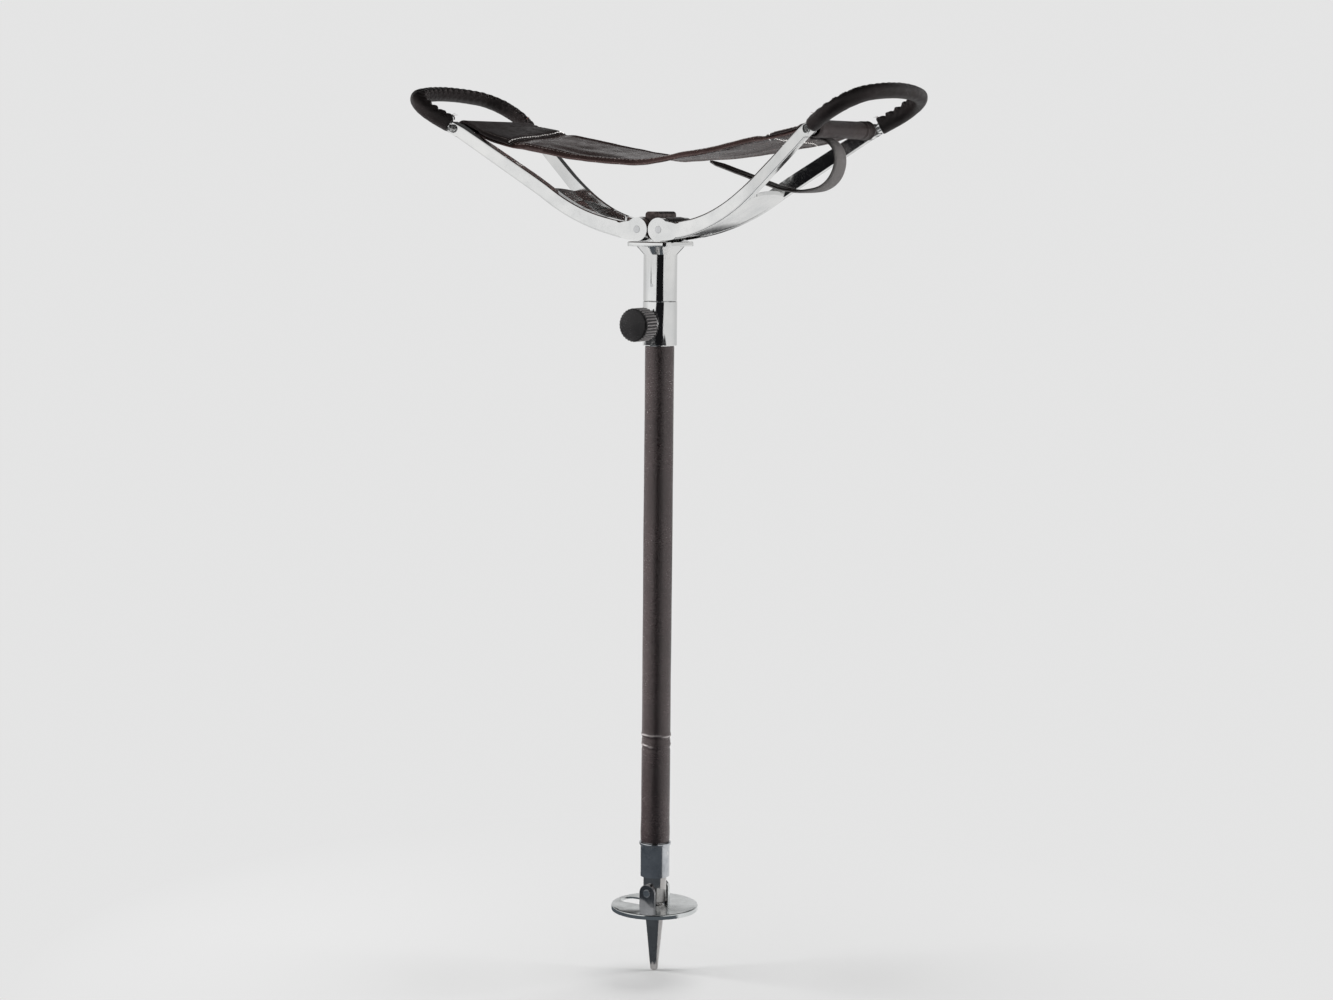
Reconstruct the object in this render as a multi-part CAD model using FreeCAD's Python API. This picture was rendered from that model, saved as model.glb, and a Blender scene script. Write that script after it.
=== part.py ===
import FreeCAD, Part
import math
import os

from FreeCAD import Vector

# Walking stick seat, in millimetres, +Z up. The origin is on the shaft's axis, level with the rim
# of the foot disc. X runs along the spread of the two handles, and the clamp knob points to -Y.

# Ground spike
spike_length = 55.0          # from the disc's rim down to the tip
spike_shank_radius = 7.5
spike_shank_length = 10.0    # straight part below the disc's rim
spike_tip_radius = 3.2
spike_tip_round = 1.6
spike_collar_radius = 7.9    # from the disc's rim plane up to the neck's shoulder
spike_neck_radius = 10.0
spike_neck_bottom = 8.0
spike_shoulder = 3.0
spike_plug_length = 34.0     # what is held in the shaft tube

# Foot disc and its ears
disc_radius = 37.5
disc_rim_height = 4.0
disc_plate = 1.5
disc_rim_round = 1.2
disc_hole_clearance = 1.0    # round the spike's collar
disc_slot_end = 33.0         # from the axis to the slot's far end
disc_pin_rise = 12.0         # pin's axis above the disc's top
disc_pin_radius = 2.5
disc_pin_head_radius = 3.3
disc_pin_head = 0.7
ear_radius = 7.5
ear_thickness = 3.0
ear_gap = 0.35
ear_foot_length = 9.0
ear_foot_thickness = 1.6

# Ferrule
ferrule_gap = 6.0            # above the ears
ferrule_length = 30.0
ferrule_radius = 12.6
ferrule_lip = 2.0
ferrule_bead_radius = 13.7
ferrule_bead_height = 2.8
ferrule_pin_radius = 1.6
ferrule_pin_drop = 9.0       # below the ferrule's top

# Shaft
tube_radius = 11.0
tube_wall = 1.2
cover_length = 427.5
cover_thickness = 1.35

# Clamp collar, its pad and knob
collar_length = 37.5
collar_radius = 14.5
collar_edge = 0.6
collar_socket_depth = 12.0   # what takes the shaft tube
collar_bush_length = 12.0
collar_bush_wall = 1.9
boss_radius = 6.3
boss_reach = 25.4            # from the shaft's axis
screw_radius = 3.0
pad_radius = 3.5
pad_nose_radius = 2.8
pad_length = 5.7
pad_nose_length = 2.0
clamp_travel = 0.75          # of the pad and the knob, off the inner tube
knob_radius = 14.0
knob_length = 19.0
knob_gap = 0.5
knob_face_radius = 12.6
knob_dome = 1.0
knob_rib_count = 32
knob_rib_depth = 0.9
knob_edge = 0.5
knob_screw_depth = 12.0

# Inner tube
inner_radius = 9.0
inner_wall = 2.0
inner_length = 325.0
height_travel = 200.0
groove_depth = 1.2
groove_side_clearance = 0.3
guide_bush_length = 20.0

# Head casting
head_gap = 0.4               # between the collar and the head, at the lowest setting
socket_length = 38.6
socket_radius = 14.2
socket_bore_depth = 34.6
socket_pin_radius = 1.5
socket_pin_height = 13.0
flare_height = 6.8
flare_radius = 20.5
flange_length = 42.0
flange_width = 48.0
flange_thickness = 4.0
flange_corner = 7.0
flange_edge = 0.8
block_half_width = 13.5
knuckle_radius = 10.3
block_top_half = 7.0
block_top_height = 14.8
block_top_round = 3.0

# Hinges of the handles
hinge_spacing = 20.8
hinge_pin_radius = 3.0
hinge_pin_proud = 0.25
lug_radius = 9.9
lug_floor_gap = 0.3
washer_radius = 8.0
washer_gap = 0.1
washer_thickness = 0.6

# Handle arms, seen from the side
arm_width = 7.7
arm_root_length = 13.7       # from the hinge to the start of the bend
arm_root_turn = 22.0
arm_first_slope = 8.0
arm_slope = 36.2
arm_bend_radius = 150.0
arm_first_bend = 14.0        # share of the bend's turn, in degrees, over which the root thins
arm_straight = 88.4
shoulder_radius = 70.0
loop_slope = 31.0
arm_half_at_hinge = 9.0
arm_half_at_root = 7.0
arm_half_at_bend = 6.1
arm_half_at_web = 5.8
arm_half_at_shoulder = 5.0
arm_half_at_bar = 4.7

# Handle arms, seen from above
arm_parallel = 34.0
arm_first_spread = 10.0
arm_first_spread_radius = 60.0
arm_middle = 48.0
arm_spread = 23.7
arm_spread_radius = 80.0

# Web between the arms
web_start = 12.8             # from the hinge's axis
web_end = 102.0
web_bow = 4.0
web_top_drop = 3.4
web_thickness = 2.4

# Loop and its leather cover
loop_reach = 219.4           # from the shaft's axis to the loop's centre line
loop_rod_radius = 4.3
loop_straight = 17.4
loop_corner_radius = 28.8
cover_start = 5.8            # along the loop, past the cross bar
cover_gap = 0.5              # between the arm's end and the leather
grip_radius = 6.2
grip_clearance = 0.06
lacing_radius = 1.2
lacing_gap = 0.3
lacing_tilt = 45.0

# Cross bar, sling and strap
bar_radius = 4.5
bar_end_gap = 0.1
bar_screw_radius = 2.5
bar_screw_depth = 12.0
bar_screw_head_radius = 3.6
bar_screw_head = 0.8
hem_gap = 0.3
hem_thickness = 2.3
hem_half_length = 49.5
sling_thickness = 4.0
sling_sag = 24.5             # of the middle below the cross bars
sling_rise = 2.5             # of the sheet above the bars' axes at the hems
sling_sag_power = 1.4
sling_half_width = 43.5
sling_flare_power = 10.0
sling_middle_tilt = 1.6      # far edge above the middle line, at the centre
sling_tilt_change = 0.035    # per millimetre along X
sling_tilt_power = 5.0
sling_stations = 8           # on each side of the middle
strap_thickness = 2.2
strap_width = 18.0
strap_start = 24.0           # inwards from the cross bar
strap_sling_gap = 0.4
strap_first_run = 6.0
strap_top_radius = 17.5
strap_side_radius = 25.0
strap_side_turn = 80.0
strap_bottom_radius = 80.0
strap_bottom_turn = 28.0
strap_tail = 64.0
strap_point = 8.0
strap_point_half = 2.0

# Clearances
running_gap = 0.06
seat_gap = 0.02
overrun = 1.0                # how far a cutting shape runs past the face it opens

# Heights that follow from the lengths above
pin_height = disc_rim_height + disc_pin_rise
ferrule_bottom = pin_height + ear_radius + ferrule_gap
ferrule_top = ferrule_bottom + ferrule_length
cover_bottom = ferrule_top + head_gap
collar_bottom = cover_bottom + cover_length + head_gap
collar_top = collar_bottom + collar_length
knob_height = collar_bottom + collar_length / 2
socket_bottom = collar_top + head_gap
socket_top = socket_bottom + socket_length
flange_top = socket_top + flare_height + flange_thickness
hinge_height = flange_top + lug_floor_gap + lug_radius
hinge_x = hinge_spacing / 2
tube_bore = tube_radius - tube_wall
bush_bore = inner_radius + running_gap
lug_inner = block_half_width + 2 * washer_gap + washer_thickness
lug_outer = lug_inner + arm_width
arm_line = lug_inner + arm_width / 2
wide = 2 * loop_reach         # more than the part's own width, for shapes that only cut


def cylinder(radius, length, base, direction):
    return Part.makeCylinder(radius, length, base, direction)


def upright(radius, bottom, top):
    return cylinder(radius, top - bottom, Vector(0, 0, bottom), Vector(0, 0, 1))


def ring(outer, inner, bottom, top):
    return upright(outer, bottom, top).cut(upright(inner, bottom, top))


def turned(profile):
    """A solid turned about the shaft's axis, from (radius, height) corners."""
    corners = [Vector(radius, 0, height) for radius, height in profile]
    face = Part.Face(Part.makePolygon(corners + corners[:1]))
    return face.revolve(Vector(0, 0, 0), Vector(0, 0, 1), 360)


def across(radius, half, x, z):
    """A rod along Y."""
    return cylinder(radius, 2 * half, Vector(x, -half, z), Vector(0, 1, 0))


def towards_knob(radius, start, end):
    """A rod on the knob's axis, from one distance in front of the shaft's axis to another."""
    return cylinder(radius, end - start, Vector(0, -start, knob_height), Vector(0, -1, 0))


def side_point(u, v):
    return Vector(u, 0, v)


def plan_point(u, v):
    return Vector(u, v, 0)


def walk(start, heading, stretches):
    """The stations at the ends and middle of each stretch: (point, heading) in two dimensions.

    A stretch is (length, turn in degrees), and turns to the left are positive."""
    (u, v), angle = start, math.radians(heading)
    found = []
    for length, turn in stretches:
        bend = math.radians(turn)
        stations = []
        for share in (0, 0.5, 1):
            swing = bend * share / 2
            chord = length * share * (math.sin(swing) / swing if swing else 1)
            stations.append(((u + chord * math.cos(angle + swing), v + chord * math.sin(angle + swing)),
                             angle + bend * share))
        found.append((stations, turn))
        (u, v), angle = stations[-1]
    return found


def beside(station, offset):
    (u, v), angle = station
    return u - offset * math.sin(angle), v + offset * math.cos(angle)


def edge_along(points, turn):
    if turn:
        return Part.Arc(*points).toShape()
    return Part.LineSegment(points[0], points[-1]).toShape()


def band(stretches, place, uppers, lowers):
    """A flat face that follows stretches, between an upper and a lower offset at each joint of them."""
    sides = [[], []]
    for offsets, side in ((uppers, sides[0]), (lowers, sides[1])):
        for k, (stations, turn) in enumerate(stretches):
            reach = (offsets[k], (offsets[k] + offsets[k + 1]) / 2, offsets[k + 1])
            side.append(([place(*beside(s, d)) for s, d in zip(stations, reach)], turn))
    edges = [edge_along(points, turn) for points, turn in sides[0]]
    edges.append(Part.LineSegment(sides[0][-1][0][-1], sides[1][-1][0][-1]).toShape())
    edges += [edge_along(points[::-1], turn) for points, turn in sides[1][::-1]]
    edges.append(Part.LineSegment(sides[1][0][0][0], sides[0][0][0][0]).toShape())
    return Part.Face(Part.Wire(edges))


def arm_side():
    """The arm's line from the hinge to the cross bar, in X and height above the hinge."""
    first = arm_first_bend
    rest = arm_slope - arm_first_slope - first
    return walk((hinge_x, 0), arm_first_slope - arm_root_turn, [
        (arm_root_length, arm_root_turn),
        (arm_bend_radius * math.radians(first), first),
        (arm_bend_radius * math.radians(rest), rest),
        (arm_straight, 0),
        (shoulder_radius * math.radians(arm_slope - loop_slope), loop_slope - arm_slope)])


(bar_x, bar_rise), bar_slope = arm_side()[-1][0][-1]
bar_height = hinge_height + bar_rise


def arm_plan():
    """The arm's line seen from above, from the head to the cross bar, for the far arm."""
    spread = arm_spread - arm_first_spread
    bends = walk((0, arm_line), 0, [
        (arm_parallel, 0),
        (arm_first_spread_radius * math.radians(arm_first_spread), arm_first_spread),
        (arm_middle, 0),
        (arm_spread_radius * math.radians(spread), spread)])
    (x, _), angle = bends[-1][0][-1]
    last = walk(bends[-1][0][-1][0], arm_spread, [((bar_x - x) / math.cos(angle), 0)])
    return bends + last


bar_y = arm_plan()[-1][0][-1][0][1]
# The arm's spread as it looks within the loop's sloping plane
loop_heading = math.degrees(math.atan(
    math.tan(math.radians(arm_spread)) * math.cos(math.radians(loop_slope))))


def loop_plane(s, t, rise=0.0):
    """A point of the sloping plane that holds the loop: s along the slope, t along Y."""
    slope = math.radians(loop_slope)
    return Vector(bar_x + s * math.cos(slope) - rise * math.sin(slope), t,
                  bar_height + s * math.sin(slope) + rise * math.cos(slope))


def loop_route(inset=0.0):
    """The loop's stretches, moved inwards by an inset: far side, far corner and half the end."""
    reach = (loop_reach - bar_x) / math.cos(math.radians(loop_slope))
    heading = math.radians(loop_heading)
    start = (0, bar_y)
    bend_s = loop_straight * math.cos(heading) + loop_corner_radius * math.sin(heading)
    bend_t = bar_y + loop_straight * math.sin(heading) - loop_corner_radius * math.cos(heading)
    behind = bend_s - reach
    end_radius = (loop_corner_radius ** 2 - behind ** 2 - bend_t ** 2) / (2 * (behind + loop_corner_radius))
    end_turn = math.degrees(math.asin(bend_t / (end_radius - loop_corner_radius)))
    corner_turn = loop_heading + 90 - end_turn
    first = (start[0] + inset * math.sin(heading), start[1] - inset * math.cos(heading))
    return walk(first, loop_heading, [
        (loop_straight, 0),
        ((loop_corner_radius - inset) * math.radians(corner_turn), -corner_turn),
        ((end_radius - inset) * math.radians(end_turn), -end_turn)])


def loop_wire(from_start, inset=0.0, rise=0.0):
    """The whole loop's line, from one side to the other, starting some way past the cross bar."""
    (straight, corner, end) = loop_route(inset)
    first, heading = straight[0][0]
    moved = (first[0] + from_start * math.cos(heading), first[1] + from_start * math.sin(heading))
    far = [([moved, moved, straight[0][2][0]], 0),
           ([s[0] for s in corner[0]], corner[1]),
           ([s[0] for s in end[0]], end[1])]
    near = [([(s, -t) for s, t in points[::-1]], turn) for points, turn in far[::-1]]
    return Part.Wire([edge_along([loop_plane(s, t, rise) for s, t in points], turn)
                      for points, turn in far + near])


def tube_along(wire, radius):
    first = wire.Edges[0]
    start = first.valueAt(first.FirstParameter)
    way = first.tangentAt(first.FirstParameter)
    circle = Part.Wire(Part.makeCircle(radius, start, way))
    return wire.makePipeShell([circle], True, False)


def lifted(shape):
    return shape.translated(Vector(0, 0, hinge_height))


def arm(side):
    """One arm with its lug, from the hinge to the start of the leather. side is 1 for the far arm."""
    stretches = arm_side()
    askew = math.radians(loop_heading)
    end = (cover_start - cover_gap) * math.cos(askew) - arm_width / 2 * math.sin(askew)
    slope = walk(stretches[-1][0][-1][0], loop_slope, [(end, 0)])
    halves = [arm_half_at_hinge, arm_half_at_root, arm_half_at_bend, arm_half_at_web,
              arm_half_at_shoulder, arm_half_at_bar, arm_half_at_bar]
    outline = band(stretches + slope, side_point, halves, [-h for h in halves])
    depth = outline.extrude(Vector(0, wide, 0)).translated(Vector(0, -wide / 2, 0))
    lug = across(lug_radius, wide / 2, hinge_x, 0)
    plan = arm_plan()
    tail = walk(plan[-1][0][-1][0], arm_spread, [(cover_start * 2, 0)])
    half = arm_width / 2
    joints = len(plan) + 2
    strip = band(plan + tail, plan_point, [half] * joints, [-half] * joints)
    width = strip.extrude(Vector(0, 0, wide)).translated(Vector(0, 0, -wide / 2))
    made = depth.fuse(lug).removeSplitter().common(width)
    if side < 0:
        made = made.mirror(Vector(0, 0, 0), Vector(0, 1, 0))
    return made


def web():
    """The thin plate between the arms, which follows their curve up to a bowed rim."""
    stretches = arm_side()[1:4]
    tops = [-web_top_drop] * (len(stretches) + 1)
    plate = band(stretches, side_point, tops, [top - web_thickness for top in tops])
    plate = plate.extrude(Vector(0, wide, 0)).translated(Vector(0, -wide / 2, 0))
    inner = hinge_x + web_start
    line = [s[0] for stations, _ in arm_plan()[:4] for s in stations]
    corners = [(inner, arm_line)] + [p for p in line if inner < p[0] < web_end]
    end_half = corners[-1][1]
    far = [Vector(x, y, 0) for x, y in corners] + [Vector(web_end, end_half, 0)]
    near = [Vector(p.x, -p.y, 0) for p in far[::-1]]
    edges = [Part.makePolygon(far), Part.Arc(far[-1], Vector(web_end + web_bow, 0, 0), near[0]).toShape(),
             Part.makePolygon(near + [far[0]])]
    outline = Part.Wire([e for piece in edges for e in piece.Edges])
    cutter = Part.Face(outline).extrude(Vector(0, 0, wide)).translated(Vector(0, 0, -wide / 2))
    return plate.common(cutter)


def handle_frame():
    arms = [lifted(arm(side)) for side in (1, -1)]
    rod = tube_along(loop_wire(cover_start / 2), loop_rod_radius)
    frame = arms[0].fuse([arms[1], lifted(web()), rod])
    hinge_hole = across(hinge_pin_radius + running_gap, wide / 2, hinge_x, hinge_height)
    screw_hole = across(bar_screw_radius + seat_gap, wide / 2, bar_x, bar_height)
    heads = [across_one_side(bar_screw_head_radius + seat_gap, screw_head_start, wide / 2, side)
             for side in (1, -1)]
    return frame.cut([hinge_hole, screw_hole] + heads).removeSplitter()


def across_one_side(radius, start, end, side):
    """A rod along Y at the cross bar's axis, on one side, from one distance to another."""
    return cylinder(radius, end - start, Vector(bar_x, side * start, bar_height), Vector(0, side, 0))


# The arms stand askew at the cross bar, so its ends stop short of their nearer edges
arm_slant = math.radians(arm_spread)
arm_inner_at_bar = bar_y - arm_width / 2 / math.cos(arm_slant)
arm_outer_at_bar = bar_y + arm_width / 2 / math.cos(arm_slant)
bar_half = arm_inner_at_bar - bar_radius * math.tan(arm_slant) - bar_end_gap
screw_head_start = arm_outer_at_bar - bar_screw_head_radius * math.tan(arm_slant) - bar_screw_head


def cross_bar():
    bar = across(bar_radius, bar_half, bar_x, bar_height)
    threads = [across_one_side(bar_screw_radius + seat_gap, bar_half - bar_screw_depth, wide / 2, side)
               for side in (1, -1)]
    return bar.cut(threads)


def bar_screws():
    """Two screws that come in through the arms and hold the cross bar's ends."""
    made = []
    for side in (1, -1):
        shank = across_one_side(bar_screw_radius, bar_half - bar_screw_depth, screw_head_start, side)
        head_end = screw_head_start + bar_screw_head
        head = across_one_side(bar_screw_head_radius, screw_head_start, head_end, side)
        made.append(shank.fuse(head).removeSplitter())
    return Part.makeCompound(made)


def grip_cover():
    outer = tube_along(loop_wire(cover_start), grip_radius)
    bore = tube_along(loop_wire(cover_start - overrun), loop_rod_radius + grip_clearance)
    return outer.cut(bore)


def grip_lacing():
    """The sewn seam that runs round the loop's inner side, above its plane."""
    reach = grip_radius + lacing_gap + lacing_radius
    tilt = math.radians(lacing_tilt)
    wire = loop_wire(cover_start + lacing_radius, reach * math.cos(tilt), reach * math.sin(tilt))
    return tube_along(wire, lacing_radius)


def sling_height(x):
    away = min(abs(x) / bar_x, 1) ** sling_sag_power
    return bar_height + sling_rise - (sling_sag + sling_rise) * (1 - away)


def sling_lift(x):
    """How far the far edge stands above the middle line, and the near edge below it."""
    fade = 1 - min(abs(x) / bar_x, 1) ** sling_tilt_power
    return (sling_middle_tilt - sling_tilt_change * x) * fade


def sling_half(x):
    flare = (hem_half_length - sling_half_width) * (abs(x) / bar_x) ** sling_flare_power
    return sling_half_width + flare


def sling_section(x):
    half, lift, middle = sling_half(x), sling_lift(x), sling_height(x)
    thick = sling_thickness / 2
    corners = [Vector(x, -half, middle - lift + thick), Vector(x, half, middle + lift + thick),
               Vector(x, half, middle + lift - thick), Vector(x, -half, middle - lift - thick)]
    return Part.makePolygon(corners + corners[:1])


hem_bore = bar_radius + hem_gap
hem_radius = hem_bore + hem_thickness


def seat_sling():
    """The leather seat: a hem round each cross bar and the sagging, twisted sheet between them."""
    end = bar_x - hem_bore - hem_thickness / 2
    places = [end * k / sling_stations for k in range(-sling_stations, sling_stations + 1)]
    sheet = Part.makeLoft([sling_section(x) for x in places], True, True)
    hems = [across(hem_radius, hem_half_length, side * bar_x, bar_height) for side in (1, -1)]
    bores = [across(hem_bore, wide / 2, side * bar_x, bar_height) for side in (1, -1)]
    return sheet.fuse(hems).cut(bores).removeSplitter()


def wrist_strap():
    """The strap that hangs from the right hem in a loop, and ends in a point."""
    start_x = bar_x - strap_start
    start_z = sling_height(start_x) - (sling_thickness + strap_thickness) / 2 - strap_sling_gap
    start_z -= abs(sling_lift(start_x)) * strap_width / 2 / sling_half(start_x)
    line = walk((start_x, start_z), 0, [
        (strap_first_run, 0),
        (strap_top_radius * math.radians(90), -90),
        (strap_side_radius * math.radians(strap_side_turn), -strap_side_turn),
        (strap_bottom_radius * math.radians(strap_bottom_turn), -strap_bottom_turn),
        (strap_tail, 0)])
    half = strap_thickness / 2
    joints = len(line) + 1
    strip = band(line, side_point, [half] * joints, [-half] * joints)
    strip = strip.extrude(Vector(0, strap_width, 0)).translated(Vector(0, -strap_width / 2, 0))
    tip = min(p.X for p in strip.Vertexes)
    side = strap_width / 2
    corners = [Vector(tip - overrun, -strap_point_half, 0), Vector(tip + strap_point, -side, 0),
               Vector(wide, -side, 0), Vector(wide, side, 0), Vector(tip + strap_point, side, 0),
               Vector(tip - overrun, strap_point_half, 0)]
    outline = Part.Face(Part.makePolygon(corners + corners[:1])).extrude(Vector(0, 0, 2 * hinge_height))
    return strip.common(outline)


def ground_spike():
    """The steel foot: a plug in the tube, a neck that the disc hangs on, and the spike."""
    neck_top = ferrule_bottom + ferrule_lip
    profile = [(0, -spike_length), (spike_tip_radius - spike_tip_round, -spike_length),
               (spike_tip_radius, spike_tip_round - spike_length), (spike_shank_radius, -spike_shank_length),
               (spike_shank_radius, 0), (spike_collar_radius, 0),
               (spike_collar_radius, spike_neck_bottom - spike_shoulder),
               (spike_neck_radius, spike_neck_bottom),
               (spike_neck_radius, neck_top), (tube_bore - seat_gap, neck_top),
               (tube_bore - seat_gap, neck_top + spike_plug_length), (0, neck_top + spike_plug_length)]
    pivot = across(disc_pin_radius + seat_gap, wide / 2, 0, pin_height)
    return turned(profile).cut([pivot, ferrule_cross_hole()])


def ear(side):
    """One of the disc's two ears: an upright with a round top, and a foot under the disc's plate."""
    inner = spike_neck_radius + ear_gap
    plate_bottom = disc_rim_height - disc_plate
    foot_bottom = plate_bottom - ear_foot_thickness
    post = Part.makeBox(2 * ear_radius, ear_thickness, pin_height - foot_bottom,
                        Vector(-ear_radius, inner, foot_bottom))
    top = cylinder(ear_radius, ear_thickness, Vector(0, inner, pin_height), Vector(0, 1, 0))
    foot = Part.makeBox(2 * ear_radius, ear_foot_length, ear_foot_thickness,
                        Vector(-ear_radius, inner, foot_bottom))
    hole = across(disc_pin_radius + running_gap, wide / 2, 0, pin_height)
    made = post.fuse([top, foot]).cut(hole).removeSplitter()
    if side < 0:
        made = made.mirror(Vector(0, 0, 0), Vector(0, 1, 0))
    return made


def foot_disc():
    """A plate with a down-turned rim, open round the spike and along the slot that lets it swing."""
    blank = upright(disc_radius, 0, disc_rim_height)
    rims = [e for e in blank.Edges
            if e.BoundBox.ZMin > disc_rim_height - seat_gap and not e.isSeam(blank.Faces[0])]
    blank = blank.makeFillet(disc_rim_round, rims)
    hollow = upright(disc_radius - disc_plate, -overrun, disc_rim_height - disc_plate)
    hole_radius = spike_collar_radius + disc_hole_clearance
    slot_centre = disc_slot_end - hole_radius
    hole = upright(hole_radius, -overrun, disc_rim_height + overrun)
    slot_end = hole.translated(Vector(-slot_centre, 0, 0))
    slot = Part.makeBox(slot_centre, 2 * hole_radius, disc_rim_height + 2 * overrun,
                        Vector(-slot_centre, -hole_radius, -overrun))
    inner = spike_neck_radius + ear_gap
    slits = [Part.makeBox(2 * (ear_radius + seat_gap), ear_thickness + 2 * seat_gap,
                          disc_rim_height + 2 * overrun, Vector(-ear_radius - seat_gap, start, -overrun))
             for start in (inner - seat_gap, -inner - ear_thickness - seat_gap)]
    return blank.cut([hollow, hole, slot_end, slot] + slits).removeSplitter()


def disc_pivot_pin():
    ears_outside = spike_neck_radius + ear_gap + ear_thickness
    shank = across(disc_pin_radius, ears_outside + running_gap, 0, pin_height)
    heads = [cylinder(disc_pin_head_radius, disc_pin_head,
                      Vector(0, side * (ears_outside + running_gap), pin_height), Vector(0, side, 0))
             for side in (1, -1)]
    return shank.fuse(heads).removeSplitter()


def ferrule_cross_hole():
    start = Vector(-wide / 2, 0, ferrule_top - ferrule_pin_drop)
    return cylinder(ferrule_pin_radius + seat_gap, wide, start, Vector(1, 0, 0))


def ferrule():
    bore = tube_radius + seat_gap
    sleeve = ring(ferrule_radius, bore, ferrule_bottom + ferrule_lip, ferrule_top)
    lip = ring(ferrule_radius, spike_neck_radius + seat_gap, ferrule_bottom, ferrule_bottom + ferrule_lip)
    bead = ring(ferrule_bead_radius, bore, ferrule_top - ferrule_bead_height, ferrule_top)
    edges = [e for e in bead.Edges if e.Length > 2 * math.pi * ferrule_bead_radius - 1]
    bead = bead.makeFillet(ferrule_bead_height / 3, edges)
    return sleeve.fuse([lip, bead]).cut(ferrule_cross_hole()).removeSplitter()


def ferrule_pin():
    return cylinder(ferrule_pin_radius, 2 * ferrule_radius,
                    Vector(-ferrule_radius, 0, ferrule_top - ferrule_pin_drop), Vector(1, 0, 0))


def shaft_tube():
    top = collar_bottom + collar_socket_depth
    return ring(tube_radius, tube_bore, ferrule_bottom + ferrule_lip, top).cut(ferrule_cross_hole())


def shaft_cover():
    outer = tube_radius + cover_thickness
    return ring(outer, tube_radius + seat_gap, cover_bottom, cover_bottom + cover_length)


def clamp_collar():
    """The collar on top of the shaft: a socket for the tube, a boss for the screw and a seat for a bush."""
    body = upright(collar_radius, collar_bottom, collar_top)
    rims = [e for e in body.Edges if e.Length > 2 * math.pi * collar_radius - 1]
    body = body.makeChamfer(collar_edge, rims)
    boss = towards_knob(boss_radius, 0, boss_reach)
    through = upright(tube_bore, collar_bottom - overrun, collar_top + overrun)
    socket = upright(tube_radius + seat_gap, collar_bottom - overrun, collar_bottom + collar_socket_depth)
    bush_seat = upright(inner_radius + collar_bush_wall + 2 * running_gap,
                        collar_top - collar_bush_length, collar_top + overrun)
    pad_bore = towards_knob(pad_radius + running_gap, 0, pad_back + clamp_travel + running_gap)
    thread = towards_knob(screw_radius + running_gap, 0, boss_reach + overrun)
    return body.fuse(boss).cut([through, socket, bush_seat, pad_bore, thread]).removeSplitter()


def collar_bush():
    return ring(inner_radius + collar_bush_wall, bush_bore, collar_top - collar_bush_length + seat_gap,
                collar_top)


groove_floor = inner_radius - groove_depth
pad_front = groove_floor + running_gap
pad_back = pad_front + pad_length


def clamp_pad():
    """The pad at the screw's tip. Its nose stands in the inner tube's groove."""
    nose = towards_knob(pad_nose_radius, pad_front, pad_front + pad_nose_length)
    return nose.fuse(towards_knob(pad_radius, pad_front + pad_nose_length, pad_back)).removeSplitter()


def knob():
    """The ribbed clamp knob with a slightly domed face."""
    start = boss_reach + knob_gap
    end = start + knob_length
    edge = end - knob_dome
    shoulder = knob_radius - knob_face_radius
    corners = [(0, start), (knob_radius - knob_edge, start), (knob_radius, start + knob_edge),
               (knob_radius, edge - shoulder), (knob_face_radius, edge), (knob_face_radius, end), (0, end)]
    crown_radius = (knob_face_radius ** 2 + knob_dome ** 2) / (2 * knob_dome)
    crown = Part.makeSphere(crown_radius, Vector(0, 0, end - crown_radius))
    body = turned(corners).common(crown)
    rib_pitch = 360 / knob_rib_count
    flute = cylinder(knob_rib_depth, wide, Vector(knob_radius, 0, 0), Vector(0, 0, 1))
    flutes = [flute.rotated(Vector(0, 0, 0), Vector(0, 0, 1), (k + 0.5) * rib_pitch)
              for k in range(knob_rib_count)]
    socket = cylinder(screw_radius + seat_gap, knob_screw_depth, Vector(0, 0, start), Vector(0, 0, 1))
    body = body.cut(flutes + [socket])
    return body.rotated(Vector(0, 0, 0), Vector(1, 0, 0), 90).translated(Vector(0, 0, knob_height))


def knob_screw():
    return towards_knob(screw_radius, pad_back + running_gap, boss_reach + knob_gap + knob_screw_depth)


def inner_tube():
    top = socket_bottom + socket_bore_depth
    body = ring(inner_radius, inner_radius - inner_wall, top - inner_length, top)
    slot_half = pad_nose_radius + groove_side_clearance
    groove_top = knob_height + slot_half
    groove = Part.makeBox(2 * slot_half, inner_radius, height_travel + 2 * slot_half,
                          Vector(-slot_half, -groove_floor - inner_radius,
                                 groove_top - height_travel - 2 * slot_half))
    return body.cut([groove, socket_cross_hole()])


def inner_tube_bush():
    """The guide sleeve on the inner tube's lower end, which slides in the shaft tube."""
    bottom = socket_bottom + socket_bore_depth - inner_length
    return ring(tube_bore - running_gap, inner_radius + seat_gap, bottom, bottom + guide_bush_length)


def socket_cross_hole():
    return across(socket_pin_radius + seat_gap, wide / 2, 0, socket_bottom + socket_pin_height)


def socket_pin():
    return across(socket_pin_radius, socket_radius, 0, socket_bottom + socket_pin_height)


def knuckle_block():
    """The block between the lugs: a knuckle round each hinge, and a raised middle."""
    bottom = flange_top - flange_thickness / 2
    knuckles = [across(knuckle_radius, block_half_width, x, hinge_height) for x in (hinge_x, -hinge_x)]
    middle = Part.makeBox(2 * block_top_half, 2 * block_half_width, hinge_height + block_top_height - bottom,
                          Vector(-block_top_half, -block_half_width, bottom))
    top = hinge_height + block_top_height
    rims = [e for e in middle.Edges if e.BoundBox.ZMin > top - 1 and e.BoundBox.YLength > block_half_width]
    middle = middle.makeFillet(block_top_round, rims)
    base = Part.makeBox(2 * hinge_x, 2 * block_half_width, hinge_height - bottom,
                        Vector(-hinge_x, -block_half_width, bottom))
    return knuckles[0].fuse([knuckles[1], middle, base])


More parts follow.
